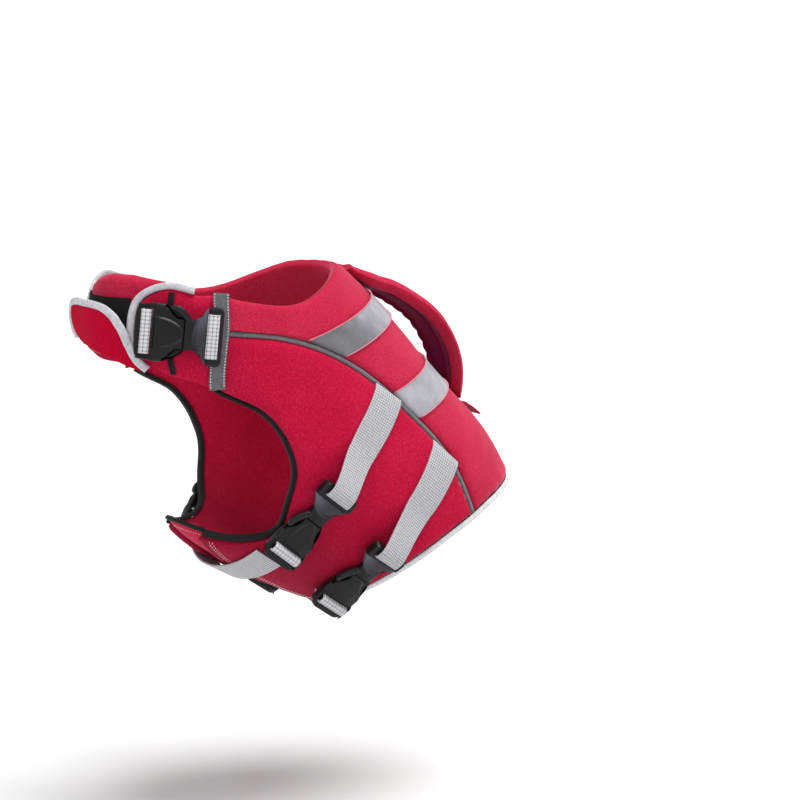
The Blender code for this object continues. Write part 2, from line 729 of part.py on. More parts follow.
def plate_mesh(name, outline, height, chamfer):
    """A flat plate of an outline in millimetres, centred on its height."""
    work = bmesh.new()
    corners = [work.verts.new((x * MM, y * MM, -height / 2 * MM)) for x, y in outline]
    base = work.faces.new(corners)
    raised = bmesh.ops.extrude_face_region(work, geom=[base])["geom"]
    top = [item for item in raised if isinstance(item, bmesh.types.BMVert)]
    bmesh.ops.translate(work, verts=top, vec=(0, 0, height * MM))
    bmesh.ops.recalc_face_normals(work, faces=work.faces)
    rims = [edge for edge in work.edges if abs(edge.verts[0].co.z - edge.verts[1].co.z) < MM / 10]
    bmesh.ops.bevel(work, geom=rims, offset=chamfer * MM, segments=1, affect="EDGES",
                    clamp_overlap=True)
    mesh = bpy.data.meshes.new(name)
    work.to_mesh(mesh)
    work.free()
    return mesh


def slot_cutter(name, slots, half_length, half_width, height):
    """Boxes where the webbing passes through a plate."""
    work = bmesh.new()
    for slot in slots:
        size = (2 * BUCKLE_SLOT * half_length * MM, 2 * SLOT_ACROSS * half_width * MM,
                2 * height * MM)
        middle = Matrix.Translation((slot * half_length * MM, 0, 0))
        bmesh.ops.create_cube(work, size=1, matrix=middle @ Matrix.Diagonal((*size, 1)))
    mesh = bpy.data.meshes.new(name)
    work.to_mesh(mesh)
    work.free()
    cutter = bpy.data.objects.new(name, mesh)
    cutter.display_type = "WIRE"
    cutter.hide_render = True
    cutters.objects.link(cutter)
    return cutter


def add_plate(name, half_outline, slots, buckle, frame, colour):
    """A buckle part: a chamfered plate with webbing slots."""
    half_length, half_width = buckle.length / 2, buckle.width / 2
    outline = [(p.along * half_length, p.across * half_width) for p in half_outline]
    outline += [(x, -y) for x, y in reversed(outline)]
    plate = add_object(name, plate_mesh(name, outline, buckle.height, PLATE_CHAMFER), colour, 0.35)
    cutter = slot_cutter(name + "_slots", slots, half_length, half_width, buckle.height)
    pose = frame @ Matrix.Translation(Vector((0, 0, buckle.height / 2)))
    for shape in (plate, cutter):
        shape.location = pose.translation * MM
        shape.rotation_euler = pose.to_euler()
    cut = plate.modifiers.new("webbing slots", "BOOLEAN")
    cut.operation = "DIFFERENCE"
    cut.object = cutter
    return plate


def height_under(buckle, side, frame, along, across, lift):
    """Height, in a buckle's frame, of the garment's face at a lift below a point of it."""
    place = Place(buckle.station, side * buckle.angle)
    to_frame = frame.inverted()
    for _ in range(5):
        here = to_frame @ lifted(*place, lift)
        step = frame.to_3x3() @ Vector((along - here.x, across - here.y, 0))
        place = moved(place, step)
    return (to_frame @ lifted(*place, lift)).z


def loop_over_bar(buckle, side, frame, ends, lift):
    """Stops of a webbing loop over the bar between two slots of a buckle. Both legs stand on
    the cloth below, which has its face at a lift. The outer leg comes last."""
    width = (BODY_WEBBING if buckle.width < 45 else NECK_WEBBING) / 2
    half_length = buckle.length / 2
    half = frame.to_3x3() @ Vector((0, width, 0))
    inner, outer = (share * half_length for share in ends)
    lean = math.copysign(1.2, inner - outer)
    over = buckle.height + SEAM_GAP + WEBBING_THICK / 2
    feet = [LAYER_GAP + max(height_under(buckle, side, frame, x + edge, y, lift)
                            for y in (-width, 0, width) for edge in (-1, 1))
            for x in (inner, outer)]
    points = ((inner, feet[0]), (inner, over - 2.0), (inner - lean, over), (outer + lean, over),
              (outer, over - 2.0), (outer, feet[1]))
    return [(frame @ Vector((x, 0, z)), half) for x, z in points]


def make_straps_and_buckles():
    for side, hand in ((1, "left"), (-1, "right")):
        for buckle, strap, end in ((BUCKLE_FRONT, STRAP_FRONT, "front"),
                                   (BUCKLE_REAR, STRAP_REAR, "rear")):
            frame = buckle_frame(buckle, side)
            tag = hand + "_" + end
            add_plate("buckle_female_" + tag, FEMALE_OUTLINE, LOOP_SLOTS, buckle, frame, CHARCOAL)
            add_plate("buckle_male_" + tag, MALE_OUTLINE, (STRAP_SLOT,), buckle, frame, CHARCOAL)
            make_strap("strap_" + tag, strap, buckle, frame, side)
            loop = loop_over_bar(buckle, side, frame, LOOP_SLOTS[::-1], WALL)
            ribbon("belly_loop_" + tag, loop, WEBBING_THICK, SILVER)
    places = BELLY_STRAP + tuple(Place(p.station, 360 - p.angle) for p in BELLY_STRAP[-2::-1])
    ribbon_on("belly_strap", Line(places), BODY_WEBBING, WALL + LAYER_GAP + WEBBING_THICK / 2,
              WEBBING_THICK, 16, SILVER)


def make_strap(name, places, buckle, frame, side):
    """Webbing from the piping down the side, over the male end and into its slot."""
    line = Line(places if side == 1 else mirrored(places))
    lift = WALL + LAYER_GAP + WEBBING_THICK / 2
    piping = Line(PIPING if side == 1 else mirrored(PIPING))
    start = (SEAM_HALF + 3.5) / line.length
    stops = []
    count = 7
    for k in range(count + 1):
        share = start + (1 - start) * k / count
        half = line.side(share) * (BODY_WEBBING / 2)
        if k == 0:
            nearest = min((j / 100 for j in range(101)),
                          key=lambda s: (lifted(*piping.at(s), WALL)
                                         - lifted(*line.at(0), WALL)).length)
            along = piping.heading(nearest)
            half = along * (half.length ** 2 / half.dot(along))
        stops.append((lifted(*line.at(share), lift), half))
    half_length = buckle.length / 2
    over = buckle.height + SEAM_GAP + 0.3 + WEBBING_THICK / 2
    across = frame.to_3x3() @ Vector((0, BODY_WEBBING / 2, 0))
    if across.dot(stops[-1][1]) < 0:
        across = -across
    slot = STRAP_SLOT * half_length
    for x, z in ((half_length + 2.5, over - 0.6), (half_length - 4.0, over), (slot + 1.5, over),
                 (slot, over - 1.3), (slot, over - 6.0)):
        stops.append((frame @ Vector((x, 0, z)), across))
    ribbon(name, stops, WEBBING_THICK, SILVER)


def make_neck_buckle():
    frame = buckle_frame(BUCKLE_NECK, 1)
    add_plate("neck_buckle_female", FEMALE_OUTLINE, LOOP_SLOTS, BUCKLE_NECK, frame, CHARCOAL)
    add_plate("neck_buckle_male", MALE_OUTLINE, (0.66, 0.90), BUCKLE_NECK, frame, CHARCOAL)
    under = THROAT_WALL + SEAM_GAP + NECK_BAND_WALL
    ribbon("neck_loop_front", loop_over_bar(BUCKLE_NECK, 1, frame, (-0.69, -0.88), under),
           WEBBING_THICK, SILVER)
    strip_top = WALL + LAYER_GAP + 1.2
    ribbon("neck_loop_rear", loop_over_bar(BUCKLE_NECK, 1, frame, (0.66, 0.90), strip_top),
           WEBBING_THICK, SILVER)


# ---------------------------------------------------------------- carry handle

def make_handle():
    line = [lifted(station, 0, WALL + LAYER_GAP + lie)
            for station, lie in zip(HANDLE_FRONT_FOOT, (2.3, 2.7))]
    line += [Vector((0, point.y, point.z)) for point in HANDLE_LINE]
    foot = lifted(HANDLE_REAR_FOOT, 0, WALL + LAYER_GAP)
    line.append(foot)
    rows = [(0.0, line[0].y, line[0].z)]
    for before, after in zip(line, line[1:]):
        rows.append((rows[-1][0] + (after - before).length, after.y, after.z))
    length = rows[-1][0]
    count = 34
    rings = []
    for k in range(count + 1):
        distance = length * k / count
        middle = Vector((0, blend(rows, distance, 1), blend(rows, distance, 2)))
        ahead = Vector((0, blend(rows, min(distance + 1, length), 1),
                        blend(rows, min(distance + 1, length), 2)))
        behind = Vector((0, blend(rows, max(distance - 1, 0), 1),
                         blend(rows, max(distance - 1, 0), 2)))
        away = Vector((1, 0, 0)).cross(ahead - behind).normalized()
        if k == count:
            away = Vector((1, 0, 0)).cross(outward(HANDLE_REAR_FOOT, 0)).normalized()
            away = away if away.y > 0 else -away
        gather = math.sin(math.pi * k / count) * math.cos(2 * math.pi * HANDLE_GATHERS * k / count)
        half = HANDLE_HALF_WIDTH - HANDLE_PUCKER * gather
        thick = HANDLE_THICK * min(1.0, 0.5 + 0.5 * distance / HANDLE_FOOT_LENGTH)
        rings.append([middle + Vector((x * half, 0, 0)) + away * (z * thick)
                      for x, z in HANDLE_SECTION])
    loft("carry_handle", rings, RED)


def make_leash_tab():
    """A folded tab with two free ends behind the handle's rear foot."""
    stops = [(lifted(station, 0, lift), Vector((-LEASH_TAB_WIDTH / 2, 0, 0)))
             for station, lift in LEASH_TAB_FOLD]
    ribbon("leash_tab", stops, WEBBING_THICK, SHADE_RED)


def build():
    make_back_panel()
    make_side_panels()
    make_belly_panel()
    make_neck_bands()
    make_throat_pad()
    make_flap()
    make_piping()
    make_bindings()
    make_neck_strips()
    make_straps_and_buckles()
    make_neck_buckle()
    make_handle()
    make_leash_tab()


for leftover in list(bpy.data.objects):
    bpy.data.objects.remove(leftover, do_unlink=True)
garment = bpy.data.collections.new("safety_vest")
bpy.context.scene.collection.children.link(garment)
cutters = bpy.data.collections.new("cutters")
bpy.context.scene.collection.children.link(cutters)
held_place = bpy.data.objects.new("worn_on_back", None)
garment.objects.link(held_place)
build()
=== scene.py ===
"""Looks of a padded safety vest in its worn shape.

Every soft piece is rebuilt over the place of its CAD solid with cushioned edges, creases,
stitching and woven materials, and the buckles get their moulded form. Sizes are in
millimetres and become metres where a mesh is made. A place on the garment is a station
(0 at the neck rim, 1 behind the hem), an angle around the vest (0 along the spine, 90 at the
left side) and a lift out from its inner skin.
"""
import math
from collections import namedtuple

import bmesh
import bpy
import numpy as np
from mathutils import Matrix, Vector


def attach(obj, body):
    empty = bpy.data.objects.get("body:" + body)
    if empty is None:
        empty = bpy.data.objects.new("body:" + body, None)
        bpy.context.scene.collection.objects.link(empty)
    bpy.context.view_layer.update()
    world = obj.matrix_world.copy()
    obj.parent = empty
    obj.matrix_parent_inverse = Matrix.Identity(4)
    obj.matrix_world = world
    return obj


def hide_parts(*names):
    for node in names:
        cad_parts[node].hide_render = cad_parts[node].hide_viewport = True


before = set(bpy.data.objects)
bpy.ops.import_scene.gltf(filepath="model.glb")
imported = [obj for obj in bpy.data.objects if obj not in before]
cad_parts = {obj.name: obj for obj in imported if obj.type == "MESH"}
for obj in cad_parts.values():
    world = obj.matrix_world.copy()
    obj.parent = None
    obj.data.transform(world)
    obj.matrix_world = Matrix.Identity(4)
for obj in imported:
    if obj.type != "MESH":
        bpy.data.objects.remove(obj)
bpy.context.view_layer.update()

MM = 0.001
WALL, EDGE_WALL, EDGE_ROLL = 12.0, 8.0, 9.0
SEAM_HALF, SEAM_GAP, LAYER_GAP = 2.5, 0.4, 0.6
PIPING_RADIUS, PIPING_LIFT = 2.0, 7.6
WEBBING_THICK, WEBBING_CORNER, BODY_WEBBING, NECK_WEBBING, NECK_STRIP = 1.6, 0.55, 30.0, 38.0, 14.0
BAND_THICK = 1.0
BELLY_WALL, BELLY_CLEAR = 3.6, 4.4
THROAT_WALL, NECK_BAND_WALL, FLAP_WALL = 10.0, 3.4, 3.0
HEM_BINDING, EDGE_BINDING = 7.0, 5.0
HANDLE_HALF_WIDTH, HANDLE_THICK = 24.0, 9.0
HANDLE_GATHERS, HANDLE_TILT, HANDLE_SAG = 14, -7.0, 3.0
THINNEST_FOAM = 2.4
FLOOR_HEIGHT = -0.380
PLASTIC_CREASE = 38

# The camera in degrees and metres, with its aim moved along its right and up; the lights
VIEW_AZIMUTH, VIEW_ELEVATION, VIEW_DISTANCE, LENS = 60, 8, 2.6, 125.8
VIEW_SHIFT = (-0.0161, -0.0179)
KEY_STRENGTH, FILL_STRENGTH, SKY_STRENGTH = 3.2, 0.95, 0.30

# ---------------------------------------------------------------- the inner skin

# station, spine y and z, belly y and z, half width, lean, power
RINGS = np.array((
    (0.00, -102, 110, -309, 113, 76, 0.00, 2.00),
    (0.20, -82, 92, -316, 38, 84, 0.00, 2.05),
    (0.40, -54, 63, -286, -48, 90, 0.05, 2.15),
    (0.60, -10, 11, -238, -120, 94, 0.08, 2.20),
    (0.80, 40, -41, -168, -163, 92, 0.08, 2.20),
    (1.00, 80, -102, -88, -203, 84, 0.05, 2.15),
), dtype=float)

# Edges and seams of the left half, as stations and angles
NECKLINE = ((0.000, 0), (0.004, 18), (0.015, 32), (0.081, 52), (0.120, 66), (0.125, 78),
            (0.089, 94), (0.050, 110))
NECK_SEAM = ((0.050, 110.0), (0.160, 110.6), (0.290, 119.3))
SEAM_TO_ARMHOLE = ((0.225, 113.8), (0.290, 119.3))
PIPING = ((0.160, 110.6), (0.207, 92.4), (0.262, 81.7), (0.332, 74.3), (0.450, 67.3),
          (0.549, 64.0), (0.662, 63.4), (0.777, 67.5), (0.870, 72.2), (0.911, 74.5))
HEM_OVER_BACK = ((0.952, 0), (0.948, 25), (0.928, 47), (0.914, 65), (0.911, 74.5))
HEM_AT_SIDE = ((0.911, 74.5), (0.907, 86), (0.906, 95), (0.907, 111), (0.909, 135),
               (0.908, 152))
ARMHOLE = ((0.290, 119.3), (0.372, 108.2), (0.442, 105.8), (0.506, 107.6), (0.549, 111.5),
           (0.596, 120.3), (0.640, 130), (0.649, 138.5), (0.628, 150), (0.590, 163))
LOWER_EDGE = ((0.590, 163), (0.680, 167), (0.800, 167.5), (0.855, 165), (0.890, 160),
              (0.908, 152))
BAND_TOP_EDGE = ((0.050, 110.0), (0.045, 122), (0.028, 133), (0.040, 142))
BAND_FRONT_EDGE = ((0.040, 142), (0.066, 147.5), (0.114, 149), (0.180, 149))
BAND_LOWER_EDGE = ((0.290, 119.3), (0.263, 125), (0.232, 136), (0.180, 149))
KEEPER = ((0.036, 132), (0.120, 132.4), (0.232, 133.5))
STRAP_FRONT = ((0.510, 65.3), (0.5415, 76), (0.5605, 83), (0.576, 88.3))
STRAP_REAR = ((0.7277, 65.75), (0.756, 76), (0.7785, 84.5), (0.797, 91.5))
BELLY_STRAP = ((0.6915, 144.4), (0.7075, 159), (0.715, 180))
FLAP_FREE = ((0.087, 192.8), (0.0795, 189), (0.078, 180), (0.080, 170), (0.089, 163),
             (0.105, 159))
FLAP_NEAR = ((0.105, 159), (0.137, 154.5), (0.187, 150), (0.216, 145))
FLAP_BOTTOM = ((0.145, 191.5), (0.158, 188), (0.166, 180), (0.177, 168), (0.197, 155),
               (0.216, 145))
FLAP_FAR = ((0.087, 192.8), (0.108, 194.5), (0.130, 194), (0.145, 191.5))

# name, stations of the upper and lower edge at the piping, and at the spine
BANDS = (("reflective_band_front", 0.273, 0.371, 0.288, 0.403),
         ("reflective_band_rear", 0.525, 0.619, 0.562, 0.660))

Buckle = namedtuple("Buckle", "station angle to_station to_angle length width height lift")
BUCKLE_FRONT = Buckle(0.655, 120.9, -0.058, -30.0, 86, 37, 11, 12.6)
BUCKLE_REAR = Buckle(0.8605, 129.9, -0.048, -34.0, 86, 37, 11, 12.6)
BUCKLE_NECK = Buckle(0.145, 127.7, 0.034, -26.0, 74, 50, 12, 16.3)

# slots across a buckle and half the width of one, as shares of half its length
LOOP_SLOTS = (-0.845, -0.665)
STRAP_SLOT = 0.77
STRAP_SLOT_CUT = (STRAP_SLOT - 0.045, 0.088)
SLOT_HALF = 0.038
NECK_SLOTS = (0.66, 0.90)
NECK_LOOP = (-0.69, -0.88)

# y and z of the handle's middle between its feet, whose stations follow
HANDLE_LINE = ((-58, 98.5), (-40, 93.5), (-23, 85.5), (-6, 73.5), (8, 60), (19, 45), (27, 29),
               (32, 8))
HANDLE_FRONT_FOOT = (0.120, 0.160)
HANDLE_REAR_FOOT = 0.733
LEASH_TAB_WIDTH = 20.0
# stations and lifts along the folded tab
LEASH_TAB_FOLD = ((0.822, 22.4), (0.794, 19.6), (0.772, 16.8), (0.7655, 15.2), (0.771, 13.8),
                  (0.800, 13.5), (0.842, 14.8))


def blend(rows, at, column):
    """Smooth values of a table's column where its first column has given values."""
    rows = np.asarray(rows, dtype=float)
    at = np.asarray(at, dtype=float)
    last = len(rows) - 2
    k = np.clip(np.searchsorted(rows[1:, 0], at, side="left"), 0, last)
    x, y = rows[:, 0], rows[:, column]
    span = x[k + 1] - x[k]
    chord = (y[k + 1] - y[k]) / span
    before, after = np.maximum(k - 1, 0), np.minimum(k + 2, last + 1)
    slope_in = np.where(k > 0, (y[k + 1] - y[before]) / (x[k + 1] - x[before]), chord)
    slope_out = np.where(k < last, (y[after] - y[k]) / (x[after] - x[k]), chord)
    f = (at - x[k]) / span
    rise = 3 * f ** 2 - 2 * f ** 3
    bend = (f ** 3 - 2 * f ** 2 + f) * span * slope_in + (f ** 3 - f ** 2) * span * slope_out
    return (1 - rise) * y[k] + rise * y[k + 1] + bend


def skin(t, v):
    """Points of the inner skin."""
    t, v = np.broadcast_arrays(np.asarray(t, float), np.asarray(v, float))
    sy, sz, by, bz, half, lean, power = (blend(RINGS, t, i) for i in range(1, 8))
    c, s = np.cos(np.radians(v)), np.sin(np.radians(v))
    up = np.copysign(np.abs(c) ** (2 / power), c)
    out = np.copysign(np.abs(s) ** (2 / power), s)
    up = up + lean * out * out
    return np.stack((half * out, (sy + by) / 2 + (sy - by) / 2 * up,
                     (sz + bz) / 2 + (sz - bz) / 2 * up), -1)


def slopes(t, v):
    """How the skin's points move for each unit of station and each degree."""
    t, v = np.broadcast_arrays(np.asarray(t, float), np.asarray(v, float))
    return (skin(t + 0.01, v) - skin(t - 0.01, v)) / 0.02, (skin(t, v + 1) - skin(t, v - 1)) / 2


def unit(a):
    return a / np.maximum(np.linalg.norm(a, axis=-1, keepdims=True), 1e-9)


def outward(t, v):
    """Direction out from the skin."""
    along, around = slopes(t, v)
    return unit(np.cross(around, along))


def lifted(t, v, lift):
    """Points at a lift above the skin."""
    return skin(t, v) + outward(t, v) * np.asarray(lift, float)[..., None]


def moved(t, v, move):
    """Places after a small move over the skin, in millimetres."""
    along, around = slopes(t, v)
    aa, ar, rr = (along * along).sum(-1), (along * around).sum(-1), (around * around).sum(-1)
    ma, mr = (move * along).sum(-1), (move * around).sum(-1)
    scale = aa * rr - ar * ar
    return t + (ma * rr - mr * ar) / scale, v + (mr * aa - ma * ar) / scale


def running(points):
    """Distance along points from the first to each."""
    return np.concatenate(([0.0], np.cumsum(np.linalg.norm(np.diff(points, axis=0), axis=1))))


def around(section):
    """Distance around a closed section, to each point and back to the first."""
    return running(np.concatenate((section, section[:1])))


class Line:
    """A smooth line through places, read at shares of its length."""

    def __init__(self, places, lift=WALL):
        self.lift = lift
        places = np.asarray(places, float)
        points = lifted(places[:, 0], places[:, 1], np.full(len(places), lift))
        self.rows = np.column_stack((running(points), places))
        self.length = self.rows[-1, 0]

    def at(self, share):
        distance = np.asarray(share, float) * self.length
        return blend(self.rows, distance, 1), blend(self.rows, distance, 2)

    def heading(self, share):
        share = np.asarray(share, float)
        ends = [self.at(np.clip(share + d, 0, 1)) for d in (-0.01, 0.01)]
        lift = np.full(share.shape, self.lift)
        return unit(lifted(*ends[1], lift) - lifted(*ends[0], lift))

    def side(self, share):
        return unit(np.cross(self.heading(share), outward(*self.at(share))))

    def beside(self, share, distance):
        distance = np.asarray(distance, float)
        return moved(*self.at(share), self.side(share) * distance[..., None])


def mirrored(places):
    return tuple((t, -v) for t, v in places)


def over_spine(places):
    """The places of one side joined to their mirror image across the spine."""
    return mirrored(places)[:0:-1] + tuple(places)


def patch(top, right, bottom, left):
    """Chart of a four-sided piece from functions of a share that give its edges."""
    corners = [np.array(edge(np.array(float(end)))) for edge, end in
               ((top, 0), (top, 1), (bottom, 0), (bottom, 1))]

    def chart(down, across):
        edges = [np.array(edge(share)) for edge, share in
                 ((top, across), (bottom, across), (left, down), (right, down))]
        rows = (1 - down) * edges[0] + down * edges[1]
        columns = (1 - across) * edges[2] + across * edges[3]
        tl, tr, bl, br = (corner.reshape(2, 1, 1) for corner in corners)
        plain = (1 - down) * ((1 - across) * tl + across * tr)
        plain = plain + down * ((1 - across) * bl + across * br)
        return tuple(rows + columns - plain)

    return chart


def grid(rows, columns):
    return np.asarray(rows, float)[:, None], np.asarray(columns, float)[None, :]


def fine(length, step, ends=(0.25, 0.7, 1.4, 2.6, 4.4, 6.8, 9.6)):
    """Shares along a length, with rounded-edge stops near both ends."""
    count = max(int((length - 2 * ends[-1]) / step), 2)
    inner = np.linspace(ends[-1], length - ends[-1], count + 1)
    near = np.array((0.0,) + ends[:-1])
    return np.concatenate((near, inner, length - near[::-1])) / length


def quarter(x):
    """Rise of a quarter circle from 0 to 1."""
    return np.sqrt(np.maximum(1 - (1 - np.clip(x, 0, 1)) ** 2, 0))


def smooth(x):
    """A soft step from 0 to 1."""
    x = np.clip(x, 0, 1)
    return x * x * (3 - 2 * x)


def ripple(points, scale, seed):
    """Soft repeatable noise between about -1 and 1, from points in millimetres."""
    source = np.random.RandomState(seed)
    total = np.zeros(points.shape[:-1])
    for _ in range(7):
        way = unit(source.normal(size=3)) * 2 * math.pi / scale * source.uniform(0.6, 1.5)
        total += np.sin(points @ way + source.uniform(0, 2 * math.pi))
    return total / 3.2


def near_line(points, places, lift=WALL):
    """Distance of points from a line of places, and the share along it."""
    t, v = Line(places).at(np.linspace(0, 1, 41))
    line = lifted(t, v, np.full(len(t), float(lift)))
    best = np.full(points.shape[:-1], 1e9)
    share = np.zeros(points.shape[:-1])
    for k in range(len(line) - 1):
        way = line[k + 1] - line[k]
        f = np.clip(((points - line[k]) @ way) / (way @ way), 0, 1)
        gap = np.linalg.norm(points - line[k] - f[..., None] * way, axis=-1)
        closer = gap < best
        best = np.where(closer, gap, best)
        share = np.where(closer, (k + f) / (len(line) - 1), share)
    return best, share


# ---------------------------------------------------------------- materials

class Nodes:
    """Short calls for building a material's nodes."""

    def __init__(self, name, rough, **shader):
        self.material = bpy.data.materials.new(name)
        self.material.use_nodes = True
        self.tree = self.material.node_tree
        self.shader = self.tree.nodes["Principled BSDF"]
        self.shader.inputs["Roughness"].default_value = rough
        for key, value in shader.items():
            socket = key.replace("_", " ").title().replace("Ior", "IOR")
            self.shader.inputs[socket].default_value = value

    def node(self, kind, inputs=(), **settings):
        node = self.tree.nodes.new("ShaderNode" + kind)
        for key, value in settings.items():
            setattr(node, key, value)
        for socket, value in dict(inputs).items():
            if isinstance(value, bpy.types.NodeSocket):
                self.tree.links.new(value, node.inputs[socket])
            else:
                node.inputs[socket].default_value = value
        return node

    def math(self, operation, a, b=0.0):
        return self.node("Math", {0: a, 1: b}, operation=operation).outputs[0]

    def noise(self, scale, detail=2.0, rough=0.5):
        place = self.node("TexCoord").outputs["Object"]
        return self.node("TexNoise", {"Vector": place, "Scale": scale, "Detail": detail,
                                      "Roughness": rough}).outputs["Fac"]

    def waves(self, pitch_u, pitch_v):
        """Two sines along the mesh's own length and width, in metres."""
        place = self.node("UVMap", uv_map="cloth").outputs["UV"]
        parts = self.node("SeparateXYZ", {0: place})
        return [self.math("SINE", self.math("MULTIPLY", parts.outputs[i], 2 * math.pi / pitch))
                for i, pitch in enumerate((pitch_u, pitch_v))]

    def ramp(self, value, *stops):
        node = self.node("ValToRGB", {"Fac": value})
        elements = node.color_ramp.elements
        while len(elements) < len(stops):
            elements.new(0.5)
        for element, (position, colour) in zip(elements, stops):
            element.position = position
            element.color = (*colour, 1.0)
        return node.outputs["Color"]

    def tinted(self, colour):
        """The colour times the mesh's tone, which carries painted shade and highlights."""
        tone = self.node("Attribute", attribute_name="tone").outputs["Fac"]
        return self.node("Mix", {0: 1.0, 6: colour, 7: tone}, data_type="RGBA",
                         blend_type="MULTIPLY").outputs[2]

    def finish(self, colour, height=None, strength=0.3, depth=0.0003, rough=None):
        self.tree.links.new(colour, self.shader.inputs["Base Color"])
        if height is not None:
            bump = self.node("Bump", {"Height": height, "Strength": strength, "Distance": depth})
            self.tree.links.new(bump.outputs["Normal"], self.shader.inputs["Normal"])
        if rough is not None:
            self.tree.links.new(rough, self.shader.inputs["Roughness"])
        return self.material


def scaled(colour, share):
    return tuple(min(c * share, 1) for c in colour)


def cloth_material(name, dark, mid, light, sheen=0.22, grain=520, gloss=0.12):
    """Brushed woven cloth: a fine weave, a mottled nap and a soft sheen."""
    n = Nodes(name, 0.78, sheen_weight=sheen, sheen_roughness=0.4,
              sheen_tint=(1.0, 0.25, 0.38, 1.0), specular_ior_level=gloss)
    mottle = n.math("ADD", n.math("MULTIPLY", n.noise(grain, 3, 0.75), 0.80),
                    n.math("MULTIPLY", n.noise(22, 2), 0.20))
    colour = n.ramp(mottle, (0.34, dark), (0.50, mid), (0.68, light))
    along, across = n.waves(0.0011, 0.0011)
    weave = n.math("MULTIPLY", along, across)
    height = n.math("ADD", n.math("MULTIPLY", weave, 0.35), n.noise(800, 3, 0.7))
    return n.finish(n.tinted(colour), height, 0.35, 0.0004)


def tape_material(name, colour, pitch, spread=0.12, sheen=0.2):
    """Woven tape: ribs across it and a fine grain."""
    n = Nodes(name, 0.7, sheen_weight=sheen, specular_ior_level=0.2)
    along, across = n.waves(pitch, pitch * 0.6)
    weave = n.math("ADD", n.math("MULTIPLY", along, 0.5), n.math("MULTIPLY", across, 0.5))
    value = n.math("ADD", n.math("MULTIPLY", weave, 0.18), n.noise(260, 3, 0.6))
    dark, light = scaled(colour, 1 - 2.2 * spread), scaled(colour, 1 + 1.6 * spread)
    return n.finish(n.tinted(n.ramp(value, (0.25, dark), (0.5, colour), (0.78, light))), weave,
                    0.5, 0.0002)


def webbing_material(name, colour, pitch):
    """Square-woven webbing: raised cells with dark gaps between them."""
    n = Nodes(name, 0.62, sheen_weight=0.15, specular_ior_level=0.35)
    along, across = n.waves(pitch, pitch)
    cells = n.math("MULTIPLY", n.math("ABSOLUTE", along), n.math("ABSOLUTE", across))
    value = n.math("ADD", n.math("MULTIPLY", n.math("POWER", cells, 0.5), 0.75),
                   n.math("MULTIPLY", n.noise(300, 2), 0.25))
    gap, light = scaled(colour, 0.24), scaled(colour, 1.14)
    return n.finish(n.tinted(n.ramp(value, (0.22, gap), (0.50, colour), (0.85, light))), cells,
                    0.8, 0.0005)


def plastic_material(name, colour, rough=0.38):
    """Moulded plastic with a fine grain and faint flow marks; highlights on its rims and edges are
    painted in through the mesh's tone.
    """
    n = Nodes(name, rough, specular_ior_level=0.24)
    worn = n.noise(38, 4, 0.6)
    base = n.ramp(worn, (0.35, scaled(colour, 0.8)), (0.68, colour), (0.80, scaled(colour, 1.5)))
    grain = n.noise(1500, 2)
    gloss = n.math("ADD", n.math("MULTIPLY", n.noise(90, 3), 0.25), rough - 0.12)
    return n.finish(n.tinted(base), grain, 0.18, 0.0002, gloss)


def reflective_material():
    """Silver cloth with a fine beaded face and cloudy wear."""
    n = Nodes("reflective_cloth", 0.42, metallic=0.25, specular_ior_level=0.6)
    along, across = n.waves(0.0012, 0.0012)
    beads = n.math("MULTIPLY", along, across)
    value = n.math("ADD", n.math("MULTIPLY", n.noise(60, 3, 0.6), 0.8),
                   n.math("MULTIPLY", n.noise(700, 2), 0.2))
    colour = n.ramp(value, (0.30, (0.26, 0.26, 0.285)), (0.52, (0.33, 0.33, 0.36)),
                    (0.75, (0.42, 0.42, 0.45)))
    return n.finish(n.tinted(colour), beads, 0.2, 0.0002)


def fuzzy_material(name, colour):
    """The looped face of a touch fastener."""
    n = Nodes(name, 0.95, sheen_weight=0.04, sheen_roughness=0.6, specular_ior_level=0.08)
    loops = n.noise(900, 4, 0.8)
    base = n.ramp(loops, (0.35, scaled(colour, 0.5)), (0.7, colour))
    return n.finish(n.tinted(base), loops, 0.9, 0.0008)


RED = cloth_material("red_cloth", (0.34, 0.000, 0.020), (0.43, 0.001, 0.030),
                     (0.55, 0.010, 0.060), 0.30)
# A lighter, pinker copy of the red cloth: painted light for the upward-facing back cushion, throat
# pad and handle top.
LIT_RED = cloth_material("lit_red_cloth", (0.36, 0.002, 0.025), (0.45, 0.010, 0.042),
                             (0.56, 0.034, 0.080), 0.46, 760)
DEEP_RED = cloth_material("deep_red_cloth", (0.37, 0.000, 0.016), (0.42, 0.000, 0.021),
                          (0.48, 0.001, 0.030), 0.02, 520, 0.04)
# A darker copy of the red cloth: painted shade for the handle's underside.
SHADED_RED = cloth_material("dark_red_cloth", (0.14, 0.000, 0.030), (0.18, 0.000, 0.044),
                        (0.23, 0.000, 0.060), 0.02)
DEEP_TAPE = tape_material("dark_red_tape", (0.29, 0.001, 0.034), 0.0014, sheen=0.05)
TAB_TAPE = tape_material("leash_tab_tape", (0.43, 0.001, 0.046), 0.0014, sheen=0.08)
SILVER = webbing_material("silver_webbing", (0.52, 0.52, 0.54), 0.0066)
FINE_SILVER = webbing_material("fine_silver_webbing", (0.44, 0.44, 0.465), 0.0046)
REFLECTIVE = reflective_material()
PALE = tape_material("pale_binding", (0.52, 0.52, 0.56), 0.0012)
WHITE = tape_material("hem_tape", (0.66, 0.65, 0.68), 0.0012)
GREY = tape_material("grey_trim", (0.125, 0.125, 0.137), 0.0010, sheen=0.08)
PIPING_GREY = tape_material("piping_grey", (0.17, 0.17, 0.185), 0.0010, sheen=0.1)
BLACK = tape_material("black_cloth", (0.006, 0.006, 0.007), 0.0012, 0.3, sheen=0.03)
FASTENER = fuzzy_material("fastener_loops", (0.012, 0.012, 0.014))
PLASTIC = plastic_material("buckle_plastic", (0.0045, 0.0045, 0.0055))
THREAD = tape_material("pale_thread", (0.55, 0.54, 0.57), 0.0006)
